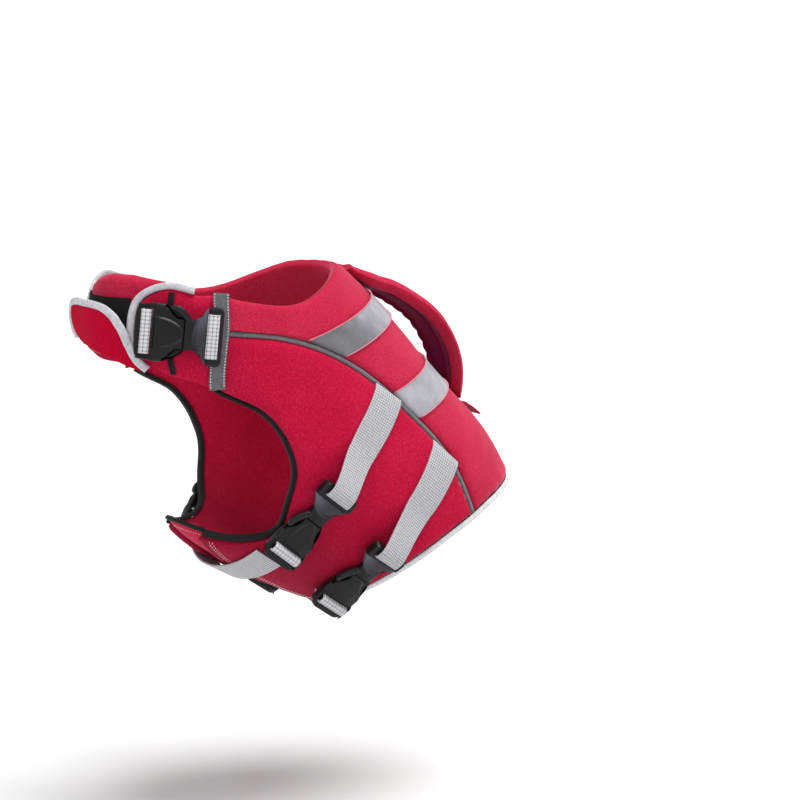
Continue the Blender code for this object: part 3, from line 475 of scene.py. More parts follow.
PINK_THREAD = tape_material("pink_thread", (0.62, 0.22, 0.28), 0.0006)
RED_THREAD = tape_material("red_thread", (0.30, 0.004, 0.022), 0.0006)


# ---------------------------------------------------------------- meshes

class Shape:
    """Collects parts of one mesh: points, faces, corner coordinates and tones."""

    def __init__(self):
        self.points, self.faces, self.corners, self.slots, self.tones = [], [], [], [], []
        self.count = 0

    def add(self, points, faces, corners, slot=0, tone=None):
        points = np.asarray(points, float).reshape(-1, 3)
        self.points.append(points)
        self.tones.append(np.ones(len(points)) if tone is None else np.asarray(tone).ravel())
        for face, corner in zip(faces, corners):
            self.faces.append(tuple(int(i) + self.count for i in face))
            self.corners.extend(corner)
        slot = np.broadcast_to(slot, len(faces))
        self.slots.extend(int(s) for s in slot)
        self.count += len(points)

    def rings(self, points, u, w, slot=0, tone=None, ends=True):
        """A closed body from rings of points; u runs along it and w around it."""
        rows, ring = points.shape[:2]
        r, c = np.meshgrid(np.arange(rows - 1), np.arange(ring), indexing="ij")
        nxt = (c + 1) % ring
        quads = np.stack((r * ring + c, r * ring + nxt, (r + 1) * ring + nxt,
                          (r + 1) * ring + c), -1).reshape(-1, 4)
        u = np.broadcast_to(np.asarray(u, float).reshape(rows, -1), (rows, ring + 1)) * MM
        w = np.broadcast_to(np.asarray(w, float).reshape(-1, ring + 1), (rows, ring + 1)) * MM
        corners = np.stack((
            np.stack((u[:-1, :-1], w[:-1, :-1]), -1), np.stack((u[:-1, 1:], w[:-1, 1:]), -1),
            np.stack((u[1:, 1:], w[1:, 1:]), -1), np.stack((u[1:, :-1], w[1:, :-1]), -1)),
            2).reshape(-1, 4, 2)
        faces, uv = quads.tolist(), corners.tolist()
        slots = np.broadcast_to(np.asarray(slot), (rows - 1, ring)).ravel().tolist()
        if ends:
            first = list(range(ring))
            last = list(range((rows - 1) * ring, rows * ring))
            faces += [first[::-1], last]
            uv += [[[0.0, 0.0]] * ring] * 2
            slots += [slots[0], slots[-1]]
        self.add(points, faces, uv, slots, tone)

    def make(self, name, materials, slot, *nodes, sharp=50):
        """The finished piece, over the CAD nodes that it stands for."""
        mesh = bpy.data.meshes.new(name)
        points = np.concatenate(self.points) * MM
        mesh.from_pydata(points.tolist(), [], self.faces)
        layer = mesh.uv_layers.new(name="cloth")
        layer.data.foreach_set("uv", np.asarray(self.corners, dtype=np.float32).ravel())
        for material in materials:
            mesh.materials.append(material)
        mesh.polygons.foreach_set("material_index", np.asarray(self.slots, dtype=np.int32))
        tone = mesh.attributes.new("tone", "FLOAT", "POINT")
        tone.data.foreach_set("value", np.concatenate(self.tones).astype(np.float32))
        work = bmesh.new()
        work.from_mesh(mesh)
        bmesh.ops.recalc_face_normals(work, faces=work.faces)
        work.to_mesh(mesh)
        work.free()
        mesh.shade_smooth()
        mesh.set_sharp_from_angle(angle=math.radians(sharp))
        piece = bpy.data.objects.new(name, mesh)
        bpy.context.scene.collection.objects.link(piece)
        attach(piece, "root")
        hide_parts(*nodes)
        return piece


def shell(shape, t, v, low, high, tone=None):
    """A closed wall over a grid of places between two lifts."""
    outer, inner = lifted(t, v, high), lifted(t, v, low)
    rows, columns = t.shape
    ring = np.concatenate((outer, inner[:, ::-1]), axis=1)
    middle = (outer + inner) / 2
    step_down = np.linalg.norm(np.diff(middle, axis=0), axis=-1).mean(1)
    step_across = np.linalg.norm(np.diff(middle, axis=1), axis=-1).mean(0)
    u = np.concatenate(([0.0], np.cumsum(step_down)))
    w = np.concatenate(([0.0], np.cumsum(step_across)))
    w = np.concatenate((w, w[::-1], w[:1]))
    if tone is not None:
        tone = np.concatenate((tone, tone[:, ::-1]), axis=1)
    shape.rings(ring, u, w, 0, tone, ends=False)
    count = 2 * columns
    caps = []
    for row, flip in ((0, False), (rows - 1, True)):
        for k in range(columns - 1):
            quad = [row * count + i for i in (k, k + 1, count - 2 - k, count - 1 - k)]
            caps.append(quad[::-1] if flip else quad)
    shape.faces.extend(tuple(i + shape.count - rows * count for i in cap) for cap in caps)
    shape.corners.extend([[0.0, 0.0]] * 4 * len(caps))
    shape.slots.extend([0] * len(caps))


def edge_distances(t, v, lift=WALL / 2):
    """A grid's points, and how far they lie from the nearest edge, the top, right, bottom and
    left edge."""
    points = lifted(t, v, np.full(t.shape, lift))
    down = np.zeros(t.shape)
    across = np.zeros(t.shape)
    down[1:] = np.cumsum(np.linalg.norm(np.diff(points, axis=0), axis=-1), axis=0)
    across[:, 1:] = np.cumsum(np.linalg.norm(np.diff(points, axis=1), axis=-1), axis=1)
    edges = down, across[:, -1:] - across, down[-1:] - down, across
    nearest = np.minimum(np.minimum(edges[0], edges[1]), np.minimum(edges[2], edges[3]))
    return points, nearest, *edges


def cushion(distance, edge_low=2.0, edge_high=EDGE_WALL, low=0.0, high=WALL, roll=EDGE_ROLL,
            turn=1.6):
    """Lifts of a padded wall with a rounded, sewn-down edge."""
    middle = (edge_low + edge_high) / 2
    tight, wide = quarter(distance / turn), quarter(distance / roll)
    return (middle + (edge_low - middle) * tight + (low - edge_low) * wide,
            middle + (edge_high - middle) * tight + (high - edge_high) * wide)


def sweep(shape, points, sides, ups, section, tone=None, taper=0.0):
    """A closed section, given as side and up offsets, carried along points."""
    section = np.asarray(section, float)
    if section.ndim == 2:
        section = np.broadcast_to(section, (len(points),) + section.shape)
    rings = (points[:, None] + sides[:, None] * section[..., :1] + ups[:, None] * section[..., 1:])
    if taper:
        for index in (0, -1):
            rings[index] = rings[index].mean(0) + (rings[index] - rings[index].mean(0)) * taper
    shape.rings(rings, running(points), around(section[0]), 0, tone)


def rounded(width, thick, corner, crown=0.0):
    """Section of a band with rounded corners, and a crown across its top."""
    x, y = width / 2 - corner, thick / 2 - corner
    points = []
    for cx, cy, start in ((x, y, 0), (-x, y, 90), (-x, -y, 180), (x, -y, 270)):
        for k in range(4):
            a = math.radians(start + 30 * k)
            points.append((cx + corner * math.cos(a), cy + corner * math.sin(a)))
        if start == 0:
            points += [(x * f, thick / 2) for f in (0.6, 0.2, -0.2, -0.6)]
    section = np.array(points)
    section[:, 1] += crown * (1 - (section[:, 0] / (width / 2)) ** 2)
    return section


def line_frames(line, shares, lift, side=1):
    """Points, right-hand vectors and outward vectors along a line on the garment."""
    t, v = line.at(shares)
    v = v * side
    points = lifted(t, v, np.broadcast_to(np.asarray(lift, float), shares.shape))
    ways = unit(np.gradient(points, axis=0))
    ups = outward(t, v)
    return points, unit(np.cross(ways, ups)), ups


def tube_round(radius, count=12):
    a = np.linspace(0, 2 * math.pi, count, endpoint=False)
    return np.column_stack((radius * np.cos(a), radius * np.sin(a)))


def stitches(shape, points, ups, pitch, length, thick, slot):
    """A row of short rounded threads along points, lying on the cloth."""
    gaps = running(points)
    count = int(gaps[-1] // pitch)
    for k in range(count):
        at = [pitch * k + 0.5 * (pitch - length) + length * f for f in (0.0, 0.5, 1.0)]
        middle = [np.array([np.interp(a, gaps, points[:, i]) for i in range(3)]) for a in at]
        up = unit(np.array([np.interp(at[1], gaps, ups[:, i]) for i in range(3)]))
        way = unit(middle[2] - middle[0])
        side = np.cross(way, up)
        rings = []
        for here, wide, rise in ((middle[0], 0.35, -0.25),
                                 (middle[1] - way * length * 0.2, 0.95, 0.1),
                                 (middle[1] + way * length * 0.2, 0.95, 0.1),
                                 (middle[2], 0.35, -0.25)):
            centre = here + up * (rise * thick - 0.1)
            rings.append([centre + side * x * thick * wide + up * y * thick * wide
                          for x, y in ((1, 0), (0, 1), (-1, 0), (0, -1))])
        shape.rings(np.array(rings), np.zeros(4), np.zeros(5), slot)


# ---------------------------------------------------------------- padded panels


def seam_pull(distance, along, pitch, depth, reach):
    """Short puckers that run away from a seam."""
    return depth * np.cos(2 * math.pi * along / pitch) * np.exp(-(distance / reach) ** 2) \
        * quarter(distance / 2.5)


def creased(high, points, creases, power, fill=1.0, lift=WALL):
    """Lifts with soft creases pressed in along lines of places."""
    for places, width, depth in creases:
        gap, share = near_line(points, places, lift)
        high = high - depth * np.exp(-(gap / width) ** 2) * np.sin(math.pi * share) ** power * fill
    return high


def make_back_panel():
    piping, seam = Line(PIPING), Line(NECK_SEAM[:2])
    neckline, hem = Line(NECKLINE), Line(HEM_OVER_BACK)
    arm = seam.length / (seam.length + piping.length)

    def left_edge(down):
        down = np.asarray(down, float)
        upper = np.array(seam.at(np.clip(down / arm, 0, 1) * (1 - SEAM_HALF / seam.length)))
        lower = np.array(piping.beside(np.clip((down - arm) / (1 - arm), 0, 1),
                                       np.full(down.shape, -SEAM_HALF)))
        return np.where(down < arm, upper, lower)

    def spine(down):
        start, end = NECKLINE[0][0], HEM_OVER_BACK[0][0]
        return start + (end - start) * (0.94 * down + 0.06 * down ** 2), 0 * down

    def bottom(share):
        place, end, last = np.array(hem.at(share)), hem.at(1.0), left_edge(1.0)
        return place + np.multiply.outer(np.array(last) - np.array(end), share)

    half = patch(neckline.at, left_edge, bottom, spine)
    down = np.concatenate((np.linspace(0, arm, 14)[:-1], arm + (1 - arm) * fine(300, 4.0)[1:]))
    down = np.unique(np.concatenate((down, np.array((0.3, 0.8, 1.6, 3, 5)) / 330)))
    across = fine(320, 4.2)
    t, v = half(*grid(down, np.abs(2 * across - 1)))
    v = np.copysign(v, (2 * across - 1)[None, :] + 1e-12)
    points, distance, top, right, bottom, left = edge_distances(t, v)
    low, high = cushion(distance)
    side = np.minimum(left, right)
    fill = smooth(distance / 22)
    high = high - 0.5 + fill * (0.35 * ripple(points, 70, 3) + 0.22 * ripple(points, 24, 8))
    high = high + seam_pull(side, top, 13, 0.45, 9) + seam_pull(bottom, left, 17, 0.5, 8)
    high = high + seam_pull(top, left, 15, 0.35, 8)
    high = np.minimum(high, 12.35)
    shape = Shape()
    high = np.maximum(creased(high, points, BACK_CREASES, 0.7), low + THINNEST_FOAM)
    shell(shape, t, v, low, high)
    piece = shape.make("back_cushion", (LIT_RED,), "red_cloth", "back_panel")
    for row in BANDS:
        make_reflective_band(*row)


def make_reflective_band(name, upper, lower, upper_spine, lower_spine):
    """A silver band from piping to piping, with painted shade that darkens it towards its ends and
    follows its folds.
    """
    shade_fall = 0.92 if "front" in name else 0.26
    piping = Line(PIPING)
    shares = np.linspace(0, 1, 201)
    ends = []
    for station in (upper, lower):
        share = shares[np.argmin(np.abs(piping.at(shares)[0] - station))]
        ends.append(piping.beside(np.array(share), np.array(-2.6)))
    down, across = grid(np.linspace(0, 1, 15), np.linspace(-1, 1, 161))
    station = ends[0][0] * (1 - down) + ends[1][0] * down
    angle = ends[0][1] * (1 - down) + ends[1][1] * down
    middle = upper_spine * (1 - down) + lower_spine * down
    t, v = middle + (station - middle) * across ** 2, angle * across
    points = lifted(t, v, np.full(t.shape, WALL))
    folds = ripple(points * np.array((1.0, 0.45, 0.2)), 13, 21)
    crinkle = ripple(points * np.array((1.6, 0.7, 0.35)), 8, 27)
    crinkle = crinkle * smooth((np.abs(across) - 0.35) / 0.4)
    waves = folds * 0.34 + 0.10 * ripple(points, 60, 22) + 0.16 * crinkle
    gap = np.minimum(near_line(points, PIPING)[0], near_line(points, mirrored(PIPING))[0])
    low = cushion(np.maximum(gap - SEAM_HALF, 0.0))[1] + 0.35
    high = low + BAND_THICK - 0.1 + waves * np.sin(math.pi * np.clip(down, 0.02, 0.98)) ** 0.5
    # The tone is painted shade: darker towards both ends of the band, and lighter and darker with
    # its folds.
    tone = 1.33 - shade_fall * smooth((np.abs(across) - 0.40) / 0.50) + 0.07 * folds
    shape = Shape()
    shell(shape, t, v, low, high, tone)
    for row in (0, -1):
        line = lifted(t[row], v[row], high[row] + 0.25)
        stitches(shape, line, outward(t[row], v[row]), 2.1, 1.9, 0.75, 1)
    piece = shape.make(name + "_cloth", (REFLECTIVE, PINK_THREAD), "reflective_cloth", name)


def make_side_panels():
    piping, lower, armhole = Line(PIPING), Line(LOWER_EDGE), Line(ARMHOLE)
    zero, one = np.array(0.0), np.array(1.0)
    first = piping.beside(zero, np.array(SEAM_HALF))
    last = piping.beside(one, np.array(SEAM_HALF))
    seam = Line(((float(first[0]), NECK_SEAM[1][1]),) + SEAM_TO_ARMHOLE)
    turn = seam.length / (seam.length + armhole.length)
    rear = Line(((float(last[0]), float(last[1])),) + HEM_AT_SIDE[1:])

    def front(down):
        down = np.asarray(down, float)
        upper = np.array(seam.at(np.clip(down / turn, 0, 1)))
        rest = np.array(armhole.at(np.clip((down - turn) / (1 - turn), 0, 1)))
        return np.where(down < turn, upper, rest)

    def top(across):
        place = np.array(piping.beside(across, np.full(np.shape(across), SEAM_HALF)))
        start = np.array(seam.at(zero))
        return place + np.multiply.outer(start - np.array(first), (1 - across) ** 8)

    half = patch(top, rear.at, lower.at, front)
    down = turn + (1 - turn) * fine(230, 3.6)[1:]
    down = np.concatenate((np.array((0.0, 0.3, 0.8, 1.6, 3, 5)) / 290, np.linspace(0.025, turn, 9),
                           down))
    across = fine(270, 3.8)
    t, v = half(*grid(down, across))
    for side, hand in ((1, "left"), (-1, "right")):
        angle = v * side
        points, distance, tops, right, bottom, left = edge_distances(t, angle)
        low, high = cushion(distance)
        over = smooth((v - 124) / 16)
        low = low * (1 - over) + BELLY_CLEAR * over
        fill = smooth(distance / 20)
        here = points * np.array((side, 1, 1))
        high = high - 0.45 + fill * (0.40 * ripple(here, 80, 4) + 0.22 * ripple(here, 27, 9))
        high = creased(high, here, SIDE_CREASES, 0.7, fill)
        high = high + seam_pull(tops, left, 14, 0.45, 9) + seam_pull(right, tops, 15, 0.5, 8)
        high = high + seam_pull(left, tops, 12, 0.45, 8)
        high = np.maximum(np.minimum(high, 12.3), low + THINNEST_FOAM)
        shape = Shape()
        # The tone paints shade: the panel darkens towards its lower edge.
        shell(shape, t, angle, low, high, 1.02 - 0.42 * smooth((v - 98) / 40))
        for inset in np.clip(np.searchsorted(bottom[:, t.shape[1] // 2][::-1], (6.0, 9.0)), 1, 12):
            line = (-1 - int(inset), slice(4, -4))
            stitches(shape, lifted(t[line], angle[line], high[line]),
                     outward(t[line], angle[line]), 3.0, 2.2, 0.42, 1)
        piece = shape.make("side_cushion_" + hand, (RED, THREAD), "red_cloth",
                           "side_panel_" + hand)


# places along a crease, its width and its depth
BACK_CREASES = (
    (((0.400, 42), (0.425, 55), (0.455, 64)), 4.0, 1.53),
    (((0.440, 40), (0.452, 52), (0.480, 62)), 5.0, 1.36),
    (((0.800, 30), (0.835, 45), (0.850, 60)), 6.0, 1.19),
    (((0.700, 58), (0.740, 48), (0.790, 44)), 5.0, 0.85),
    (((0.890, 20), (0.870, 32), (0.895, 48)), 5.0, 1.02),
)
SIDE_CREASES = (
    (((0.46, 104), (0.50, 92), (0.53, 80)), 7.0, 0.8),
    (((0.30, 112), (0.36, 98), (0.44, 86)), 8.0, 0.7),
    (((0.62, 124), (0.66, 110), (0.70, 98)), 7.0, 0.7),
    (((0.72, 118), (0.77, 112), (0.84, 110)), 6.0, 0.7),
    (((0.66, 140), (0.74, 139), (0.82, 141)), 7.0, 0.6),
)


def belly_front(side):
    """Station of the belly panel's front edge, from -1 to 1 across it."""
    return 0.562 + 0.087 * side * side


def make_belly_panel():
    down, across = grid(fine(120, 3.2), fine(110, 3.0))
    side = 2 * across - 1
    front = belly_front(side)
    rear = 0.885 + 0.110 * np.maximum(0.0, 1 - (np.abs(side) / 0.80) ** 4)
    t, v = front + (rear - front) * down, 180 - 30.0 * side + 0 * down
    points, distance = edge_distances(t, v)[:2]
    rise = 5.0 * np.clip((t - 0.935) / 0.050, 0, 1)
    low, high = cushion(distance, 0.4, BELLY_WALL - 0.8, 0.0, BELLY_WALL - 0.2, 4.0, 0.9)
    high = high + 0.2 * ripple(points, 34, 12) * smooth(distance / 12)
    shape = Shape()
    shell(shape, t, v, low + rise, high + rise)
    for row in (5, -6):
        stitches(shape, lifted(t[row], v[row], (high + rise)[row]), outward(t[row], v[row]),
                 3.0, 2.2, 0.4, 1)
    piece = shape.make("belly_cloth", (RED, THREAD), "red_cloth", "belly_panel")


def make_neck_bands():
    top, lower = Line(BAND_TOP_EDGE), Line(BAND_LOWER_EDGE)
    front, rear = Line(BAND_FRONT_EDGE), Line(NECK_SEAM)
    half = patch(top.at, front.at, lower.at, rear.at)
    down, across = grid(fine(80, 2.6), fine(70, 2.4))
    t, v = half(down, across)
    v = v + 1 - across
    for side, hand in ((1, "left"), (-1, "right")):
        angle = v * side
        points, distance, tops, right, bottom, left = edge_distances(t, angle)
        here = points * np.array((side, 1, 1))
        over = smooth((v - 113) / 18)
        base = THROAT_WALL + SEAM_GAP
        low_a, high_a = cushion(distance)
        low_b, high_b = cushion(distance, base, base + 2.2, base, base + NECK_BAND_WALL, 5.0, 1.0)
        low = low_a * (1 - over) + low_b * over
        high = high_a * (1 - over) + high_b * over
        fill = smooth(distance / 12)
        high = high - 0.3 + fill * 0.35 * ripple(here, 26, 15)
        high = creased(high, here, BAND_CREASES, 0.5, lift=13)
        high = high + seam_pull(left, tops, 9, 0.5, 8) + seam_pull(tops, left, 10, 0.3, 6)
        high = np.maximum(high, low + 1.2)
        shape = Shape()
        shell(shape, t, angle, low, high)
        piece = shape.make("neck_cushion_" + hand, (RED,), "red_cloth", "neck_band_" + hand)


BAND_CREASES = (
    (((0.04, 132), (0.12, 132.4), (0.23, 133.5)), 3.2, 1.1),
    (((0.235, 132), (0.20, 124), (0.215, 116)), 4.0, 0.8),
    (((0.05, 127), (0.08, 120), (0.075, 113)), 4.0, 0.7),
)


def make_throat_pad():
    down, across = grid(fine(66, 2.0), fine(190, 3.0))
    side = 2 * across - 1
    upper = -0.008 + 0.014 * np.clip((np.abs(side) * 44 - 25) / 19, 0, 1)
    upper = upper + 0.034 * smooth((-side * 44 + 12) / 34)
    t, v = upper + (0.180 - upper) * down, 180 - 44.0 * side + 0 * down
    points, distance = edge_distances(t, v)[:2]
    from_middle = np.abs(180 - v)
    thin = np.clip((38 - from_middle) / 8, 0, 1)
    full = THROAT_WALL - 0.7 + 3.0 * np.maximum(0.0, 1 - ((t - 0.015) / 0.030) ** 2) * thin
    full = full - 2.6 * smooth((v - 170) / 30) * smooth((0.05 - t) / 0.03)
    low, high = cushion(distance, 2.0, 4.5, 0.0, full, 6.5, 1.4)
    high = high + smooth(distance / 10) * (0.25 * ripple(points, 38, 31) - 0.1)
    high = np.minimum(high, np.where(t > 0.044, THROAT_WALL - 0.3, 99.0))
    shape = Shape()
    shell(shape, t, v, low, high)
    piece = shape.make("throat_cushion", (LIT_RED,), "red_cloth", "throat_pad")
    down, across = grid(np.linspace(0, 1, 20), np.linspace(-1, 1, 60))
    t, v = 0.050 + 0.110 * down + 0 * across, 180 - 26.5 * across + 0 * down
    points = lifted(t, v, np.full(t.shape, THROAT_WALL))
    low = THROAT_WALL - 0.1 + 0 * t
    high = low + 1.1 + 0.15 * ripple(points, 15, 33)
    shape = Shape()
    shell(shape, t, v, low, high)
    for row in (1, -2):
        stitches(shape, lifted(t[row], v[row], high[row]), outward(t[row], v[row]), 2.8, 2.0,
                 0.3, 1)
    piece = shape.make("throat_fastener_cloth", (FASTENER, BLACK), "black_cloth",
                       "throat_fastener")


def flap_lift(t, v):
    """Lift of the turned-down flap over the fastener, pad and band."""
    rise = np.clip((0.165 - t) / 0.095, 0, 1)
    over = np.clip((160 - v) / 8, 0, 1)
    stand = 0.03 * np.maximum(v - 182, 0) ** 2
    return 11.5 + 3.4 * over + 11.0 * rise - 2.0 * rise * over + stand


def make_flap():
    chart = patch(Line(FLAP_FREE, 20).at, Line(FLAP_NEAR, 18).at, Line(FLAP_BOTTOM, 15).at,
                  Line(FLAP_FAR, 18).at)
    t, v = chart(*grid(fine(36, 1.8, (0.2, 0.6, 1.3, 2.6, 4.2)), fine(95, 2.2)))
    points, distance = edge_distances(t, v, 18)[:2]
    base = flap_lift(t, v)
    low, high = cushion(distance, 0.2, 1.8, 0.0, FLAP_WALL - 0.2, 5.0, 0.9)
    high = high + 0.22 * ripple(points, 40, 41) * smooth(distance / 8)
    shape = Shape()
    shell(shape, t, v, base + low, base + high)
    piece = shape.make("throat_flap_cloth", (DEEP_RED,), "red_cloth", "throat_flap")


# ---------------------------------------------------------------- seams and edges

def edge_roll(width, low, high, puff=0.3):
    """Section of a folded binding, from its near side at 0 to its far side."""
    middle, half = (low + high) / 2, (high - low) / 2
    points = []
    for k in range(14):
        a = 2 * math.pi * k / 14
        x, y = math.cos(a), math.sin(a)
        x, y = math.copysign(abs(x) ** 0.6, x), math.copysign(abs(y) ** 0.6, y)
        points.append((width / 2 + x * width / 2, middle + y * (half + puff * (y > 0))))
    return np.array(points)


def binding(name, line, shares, width, low, high, material, node, side=1, rise=None,
            gap=SEAM_GAP, shadow_line=None, slot="pale_binding"):
    """A folded tape along the right of a line, with a gathered surface."""
    shares = np.asarray(shares, float)
    rings = []
    t0, v0 = line.at(shares)
    extra = rise(t0, v0) if rise else 0.0
    ups = outward(t0, v0 * side)
    wobble = ripple(lifted(t0, v0, np.full(t0.shape, 8.0)), 21, 55) * 0.14
    for x, y in edge_roll(width, low, high):
        t, v = line.beside(shares, np.full(shares.shape, gap + x))
        rings.append(lifted(t, v * side, y + extra + wobble * (1 if y > (low + high) / 2 else 0)))
    rings = np.stack(rings, 1)
    shape = Shape()
    centre = rings.mean(1)
    shape.rings(rings, running(centre),
                np.linspace(0, 2 * (width + high - low), rings.shape[1] + 1))
    # A near-continuous row of black stitches where the tape meets the cloth: painted shadow.
    if shadow_line:
        t, v = line.beside(shares, np.full(shares.shape, gap + 0.2))
        stitches(shape, lifted(t, v * side, high + extra - 0.1), ups, 3.0, 2.9, 0.55, 1)
    shape.make(name, (material, shadow_line) if shadow_line else (material,), slot, node)


def make_bindings():
    whole_hem = Line(over_spine(HEM_OVER_BACK[:-1] + HEM_AT_SIDE)[::-1])
    # The black row along the hem tape is a painted shadow line.
    binding("hem_tape", whole_hem, np.linspace(0, 1, 171), HEM_BINDING, 1.5, 8.5, WHITE,
            "hem_binding", shadow_line=BLACK)
    for side, hand in ((1, "left"), (-1, "right")):
        binding("armhole_tape_" + hand, Line(ARMHOLE), np.linspace(0, 0.997, 93), 3.8, 1.2,
                8.2, BLACK, "armhole_binding_" + hand, side, slot="black_cloth")
        binding("lower_tape_" + hand, Line(LOWER_EDGE), np.linspace(0.02, 0.97, 61),
                EDGE_BINDING, 4.2, 9.0, DEEP_TAPE, "lower_binding_" + hand, side,
                slot="dark_red_cloth")
        low = THROAT_WALL + SEAM_GAP
        binding("neck_band_tape_" + hand, Line(BAND_TOP_EDGE[1:-1] + BAND_FRONT_EDGE),
                np.linspace(0, 1, 61), EDGE_BINDING + 1.2, low, low + NECK_BAND_WALL + 0.4, PALE,
                "neck_band_binding_" + hand, side)
    near, free, far = Line(FLAP_NEAR, 18), Line(FLAP_FREE, 20), Line(FLAP_FAR, 18)
    edge = [(float(t), float(v)) for line, shares in (
        (near, (1.0, 0.75, 0.5, 0.25, 0.06)), (free, (0.97, 0.8, 0.6, 0.4, 0.2, 0.04)),
        (far, (0.08, 0.4, 0.7, 1.0))) for t, v in (line.at(share) for share in shares)]
    binding("throat_flap_tape", Line(edge, 20), np.linspace(0, 1, 121), EDGE_BINDING + 1.4, 0.0,
            FLAP_WALL + 0.5, PALE, "throat_flap_binding", rise=flap_lift, gap=-0.5)
    front = tuple((belly_front(turn / 30), 180 + turn) for turn in (-17.5, -8, 0, 8, 17.5))
    binding("belly_tape", Line(front), np.linspace(0, 1, 25), 4.0, 0.4, 4.2, BLACK,
            "belly_binding", gap=1.0, slot="black_cloth")


def make_piping():
    for side, hand in ((1, "left"), (-1, "right")):
        shares = np.linspace(0.012, 0.994, 150)
        points, sides, ups = line_frames(Line(PIPING), shares, PIPING_LIFT, side)
        points = points + ups * (0.15 * ripple(points, 9, 61))[:, None]
        shape = Shape()
        full = 1 + 0.32 * np.exp(-(shares / 0.08) ** 2)
        sweep(shape, points, sides, ups, tube_round(PIPING_RADIUS, 14)[None] * full[:, None, None])
        shape.make("piping_cord_" + hand, (PIPING_GREY,), "grey_trim", "piping_" + hand)


def make_neck_strips():
    for side, hand in ((1, "left"), (-1, "right")):
        shares = np.linspace(-0.02, 1.0, 60)
        lift = WALL + LAYER_GAP + 0.6
        points, sides, ups = line_frames(Line(NECK_SEAM), shares, lift, side)
        shape = Shape()
        sweep(shape, points, sides, ups, rounded(NECK_STRIP, 1.2, 0.5, crown=0.35))
        for x in (-1, 1):
            row = points + sides * (x * (NECK_STRIP / 2 - 1.3)) + ups * 0.72
            stitches(shape, row, ups, 2.6, 2.0, 0.6, 1)
        shape.make("neck_tape_" + hand, (GREY, THREAD), "grey_trim", "neck_strip_" + hand)
        lift = THROAT_WALL + SEAM_GAP + NECK_BAND_WALL + LAYER_GAP + 0.3
        points, sides, ups = line_frames(Line(KEEPER), np.linspace(0, 1, 40), lift, side)
        shape = Shape()
        sweep(shape, points, sides, ups, rounded(5.0, 1.0, 0.4))
        shape.make("keeper_elastic_" + hand, (BLACK,), "black_cloth", "keeper_" + hand)


# ---------------------------------------------------------------- buckles and webbing

def buckle_frame(buckle, side):
    """Origin and axes of a buckle: x to the male end, z outward."""
    angle = side * buckle.angle
    origin = lifted(buckle.station, angle, np.array(buckle.lift, float))
    z = outward(buckle.station, angle)
    along, around = slopes(buckle.station, angle)
    x = along * buckle.to_station + around * (side * buckle.to_angle)
    x = unit(x - z * (x @ z))
    return origin, np.array((x, np.cross(z, x), z))


def placed(frame_of, points):
    origin, axes = frame_of
    return origin + np.asarray(points, float) @ axes


FEMALE_HALF = ((-1.03, 0.46), (-1.012, 0.70), (-0.98, 0.85), (-0.915, 0.94), (-0.60, 1.00),
               (-0.52, 1.00), (-0.38, 0.99), (-0.31, 0.94), (-0.25, 0.90), (-0.15, 0.86),
               (-0.02, 0.76), (0.108, 0.60))
MALE_HALF = ((0.111, 0.56), (0.20, 0.52), (0.32, 0.525), (0.42, 0.585), (0.50, 0.70),
             (0.57, 0.86), (0.64, 0.97), (0.74, 1.02), (0.90, 1.02), (0.96, 0.97), (1.00, 0.86))


def plate(shape, frame_of, buckle, half, top, tone, count=110, across=64):
    """A moulded plate: slices along x whose top follows a rule of x and y."""
    half_length, half_width = buckle.length / 2, buckle.width / 2
    rows = np.asarray(half, float)
    xs = np.interp(np.linspace(0, 1, count), np.linspace(0, 1, len(rows)), rows[:, 0])
    ws = np.interp(xs, rows[:, 0], rows[:, 1])
    kernel = np.array((1, 2, 3, 4, 3, 2, 1)) / 16
    ws = np.convolve(np.pad(ws, 3, mode="edge"), kernel, mode="valid")
    s = np.cos(np.linspace(0, math.pi, across))
    s = np.sign(s) * np.abs(s) ** 0.8
    rings, tones = [], []
    for x, w in zip(xs, ws):
        end = min(x - xs[0], xs[-1] - x) * half_length
        edge = np.minimum((1 - np.abs(s)) * w * half_width, end + 0.05)
        round_in = 1.6 * (1 - quarter(edge / 1.8))
        high = top(x, s * w) * buckle.height - round_in
        high[0] = high[-1] = buckle.height * 0.42
        y = s * w * half_width
        bottom = 1.2 * (1 - quarter(edge / 1.4)) + 0.2
        bottom[0] = bottom[-1] = buckle.height * 0.30
        upper = np.column_stack((np.full(across, x * half_length), y, high))
        under = np.column_stack((np.full(across, x * half_length), y, bottom))[::-1]
        rings.append(np.concatenate((upper, under)))
        shade = tone(x, s * w)
        tones.append(np.concatenate((shade, shade[::-1])))
    rings = placed(frame_of, np.array(rings))
    shape.rings(rings, xs * half_length, np.linspace(0, 100, 2 * across + 1), 0, np.array(tones))


def female_top(x, y):
    frame_part = smooth((-0.575 - x) / 0.02)
    crown = 0.86 - 0.26 * np.abs(y) ** 2.2
    inside = np.sqrt(((x + 0.57) / 0.68) ** 2 + (y / 0.54) ** 2)
    shield = smooth((1.0 - inside) / 0.10) * (x > -0.57)
    slope = 0.12 * smooth((x + 0.55) / 0.7)
    body = crown - slope + 0.14 * shield
    neck = 0.86 - 0.36 * smooth((x + 0.36) / 0.34)
    step = smooth((np.abs(y) - neck) / 0.06) * (x > -0.36)
    body = body * (1 - step) + 0.17 * step
    return body * (1 - frame_part) + 0.76 * frame_part


# Painted highlights on the socket: a bright line along the shield's rim and along both side edges.
def female_tone(x, y):
    inside = np.sqrt(((x + 0.57) / 0.68) ** 2 + (y / 0.54) ** 2)
    rim = np.exp(-((inside - 0.97) / 0.03) ** 2) * (x > -0.55)
    edge = np.exp(-((np.abs(y) - 0.95) / 0.05) ** 2)
    return 1.0 + 5.0 * rim + 1.5 * edge


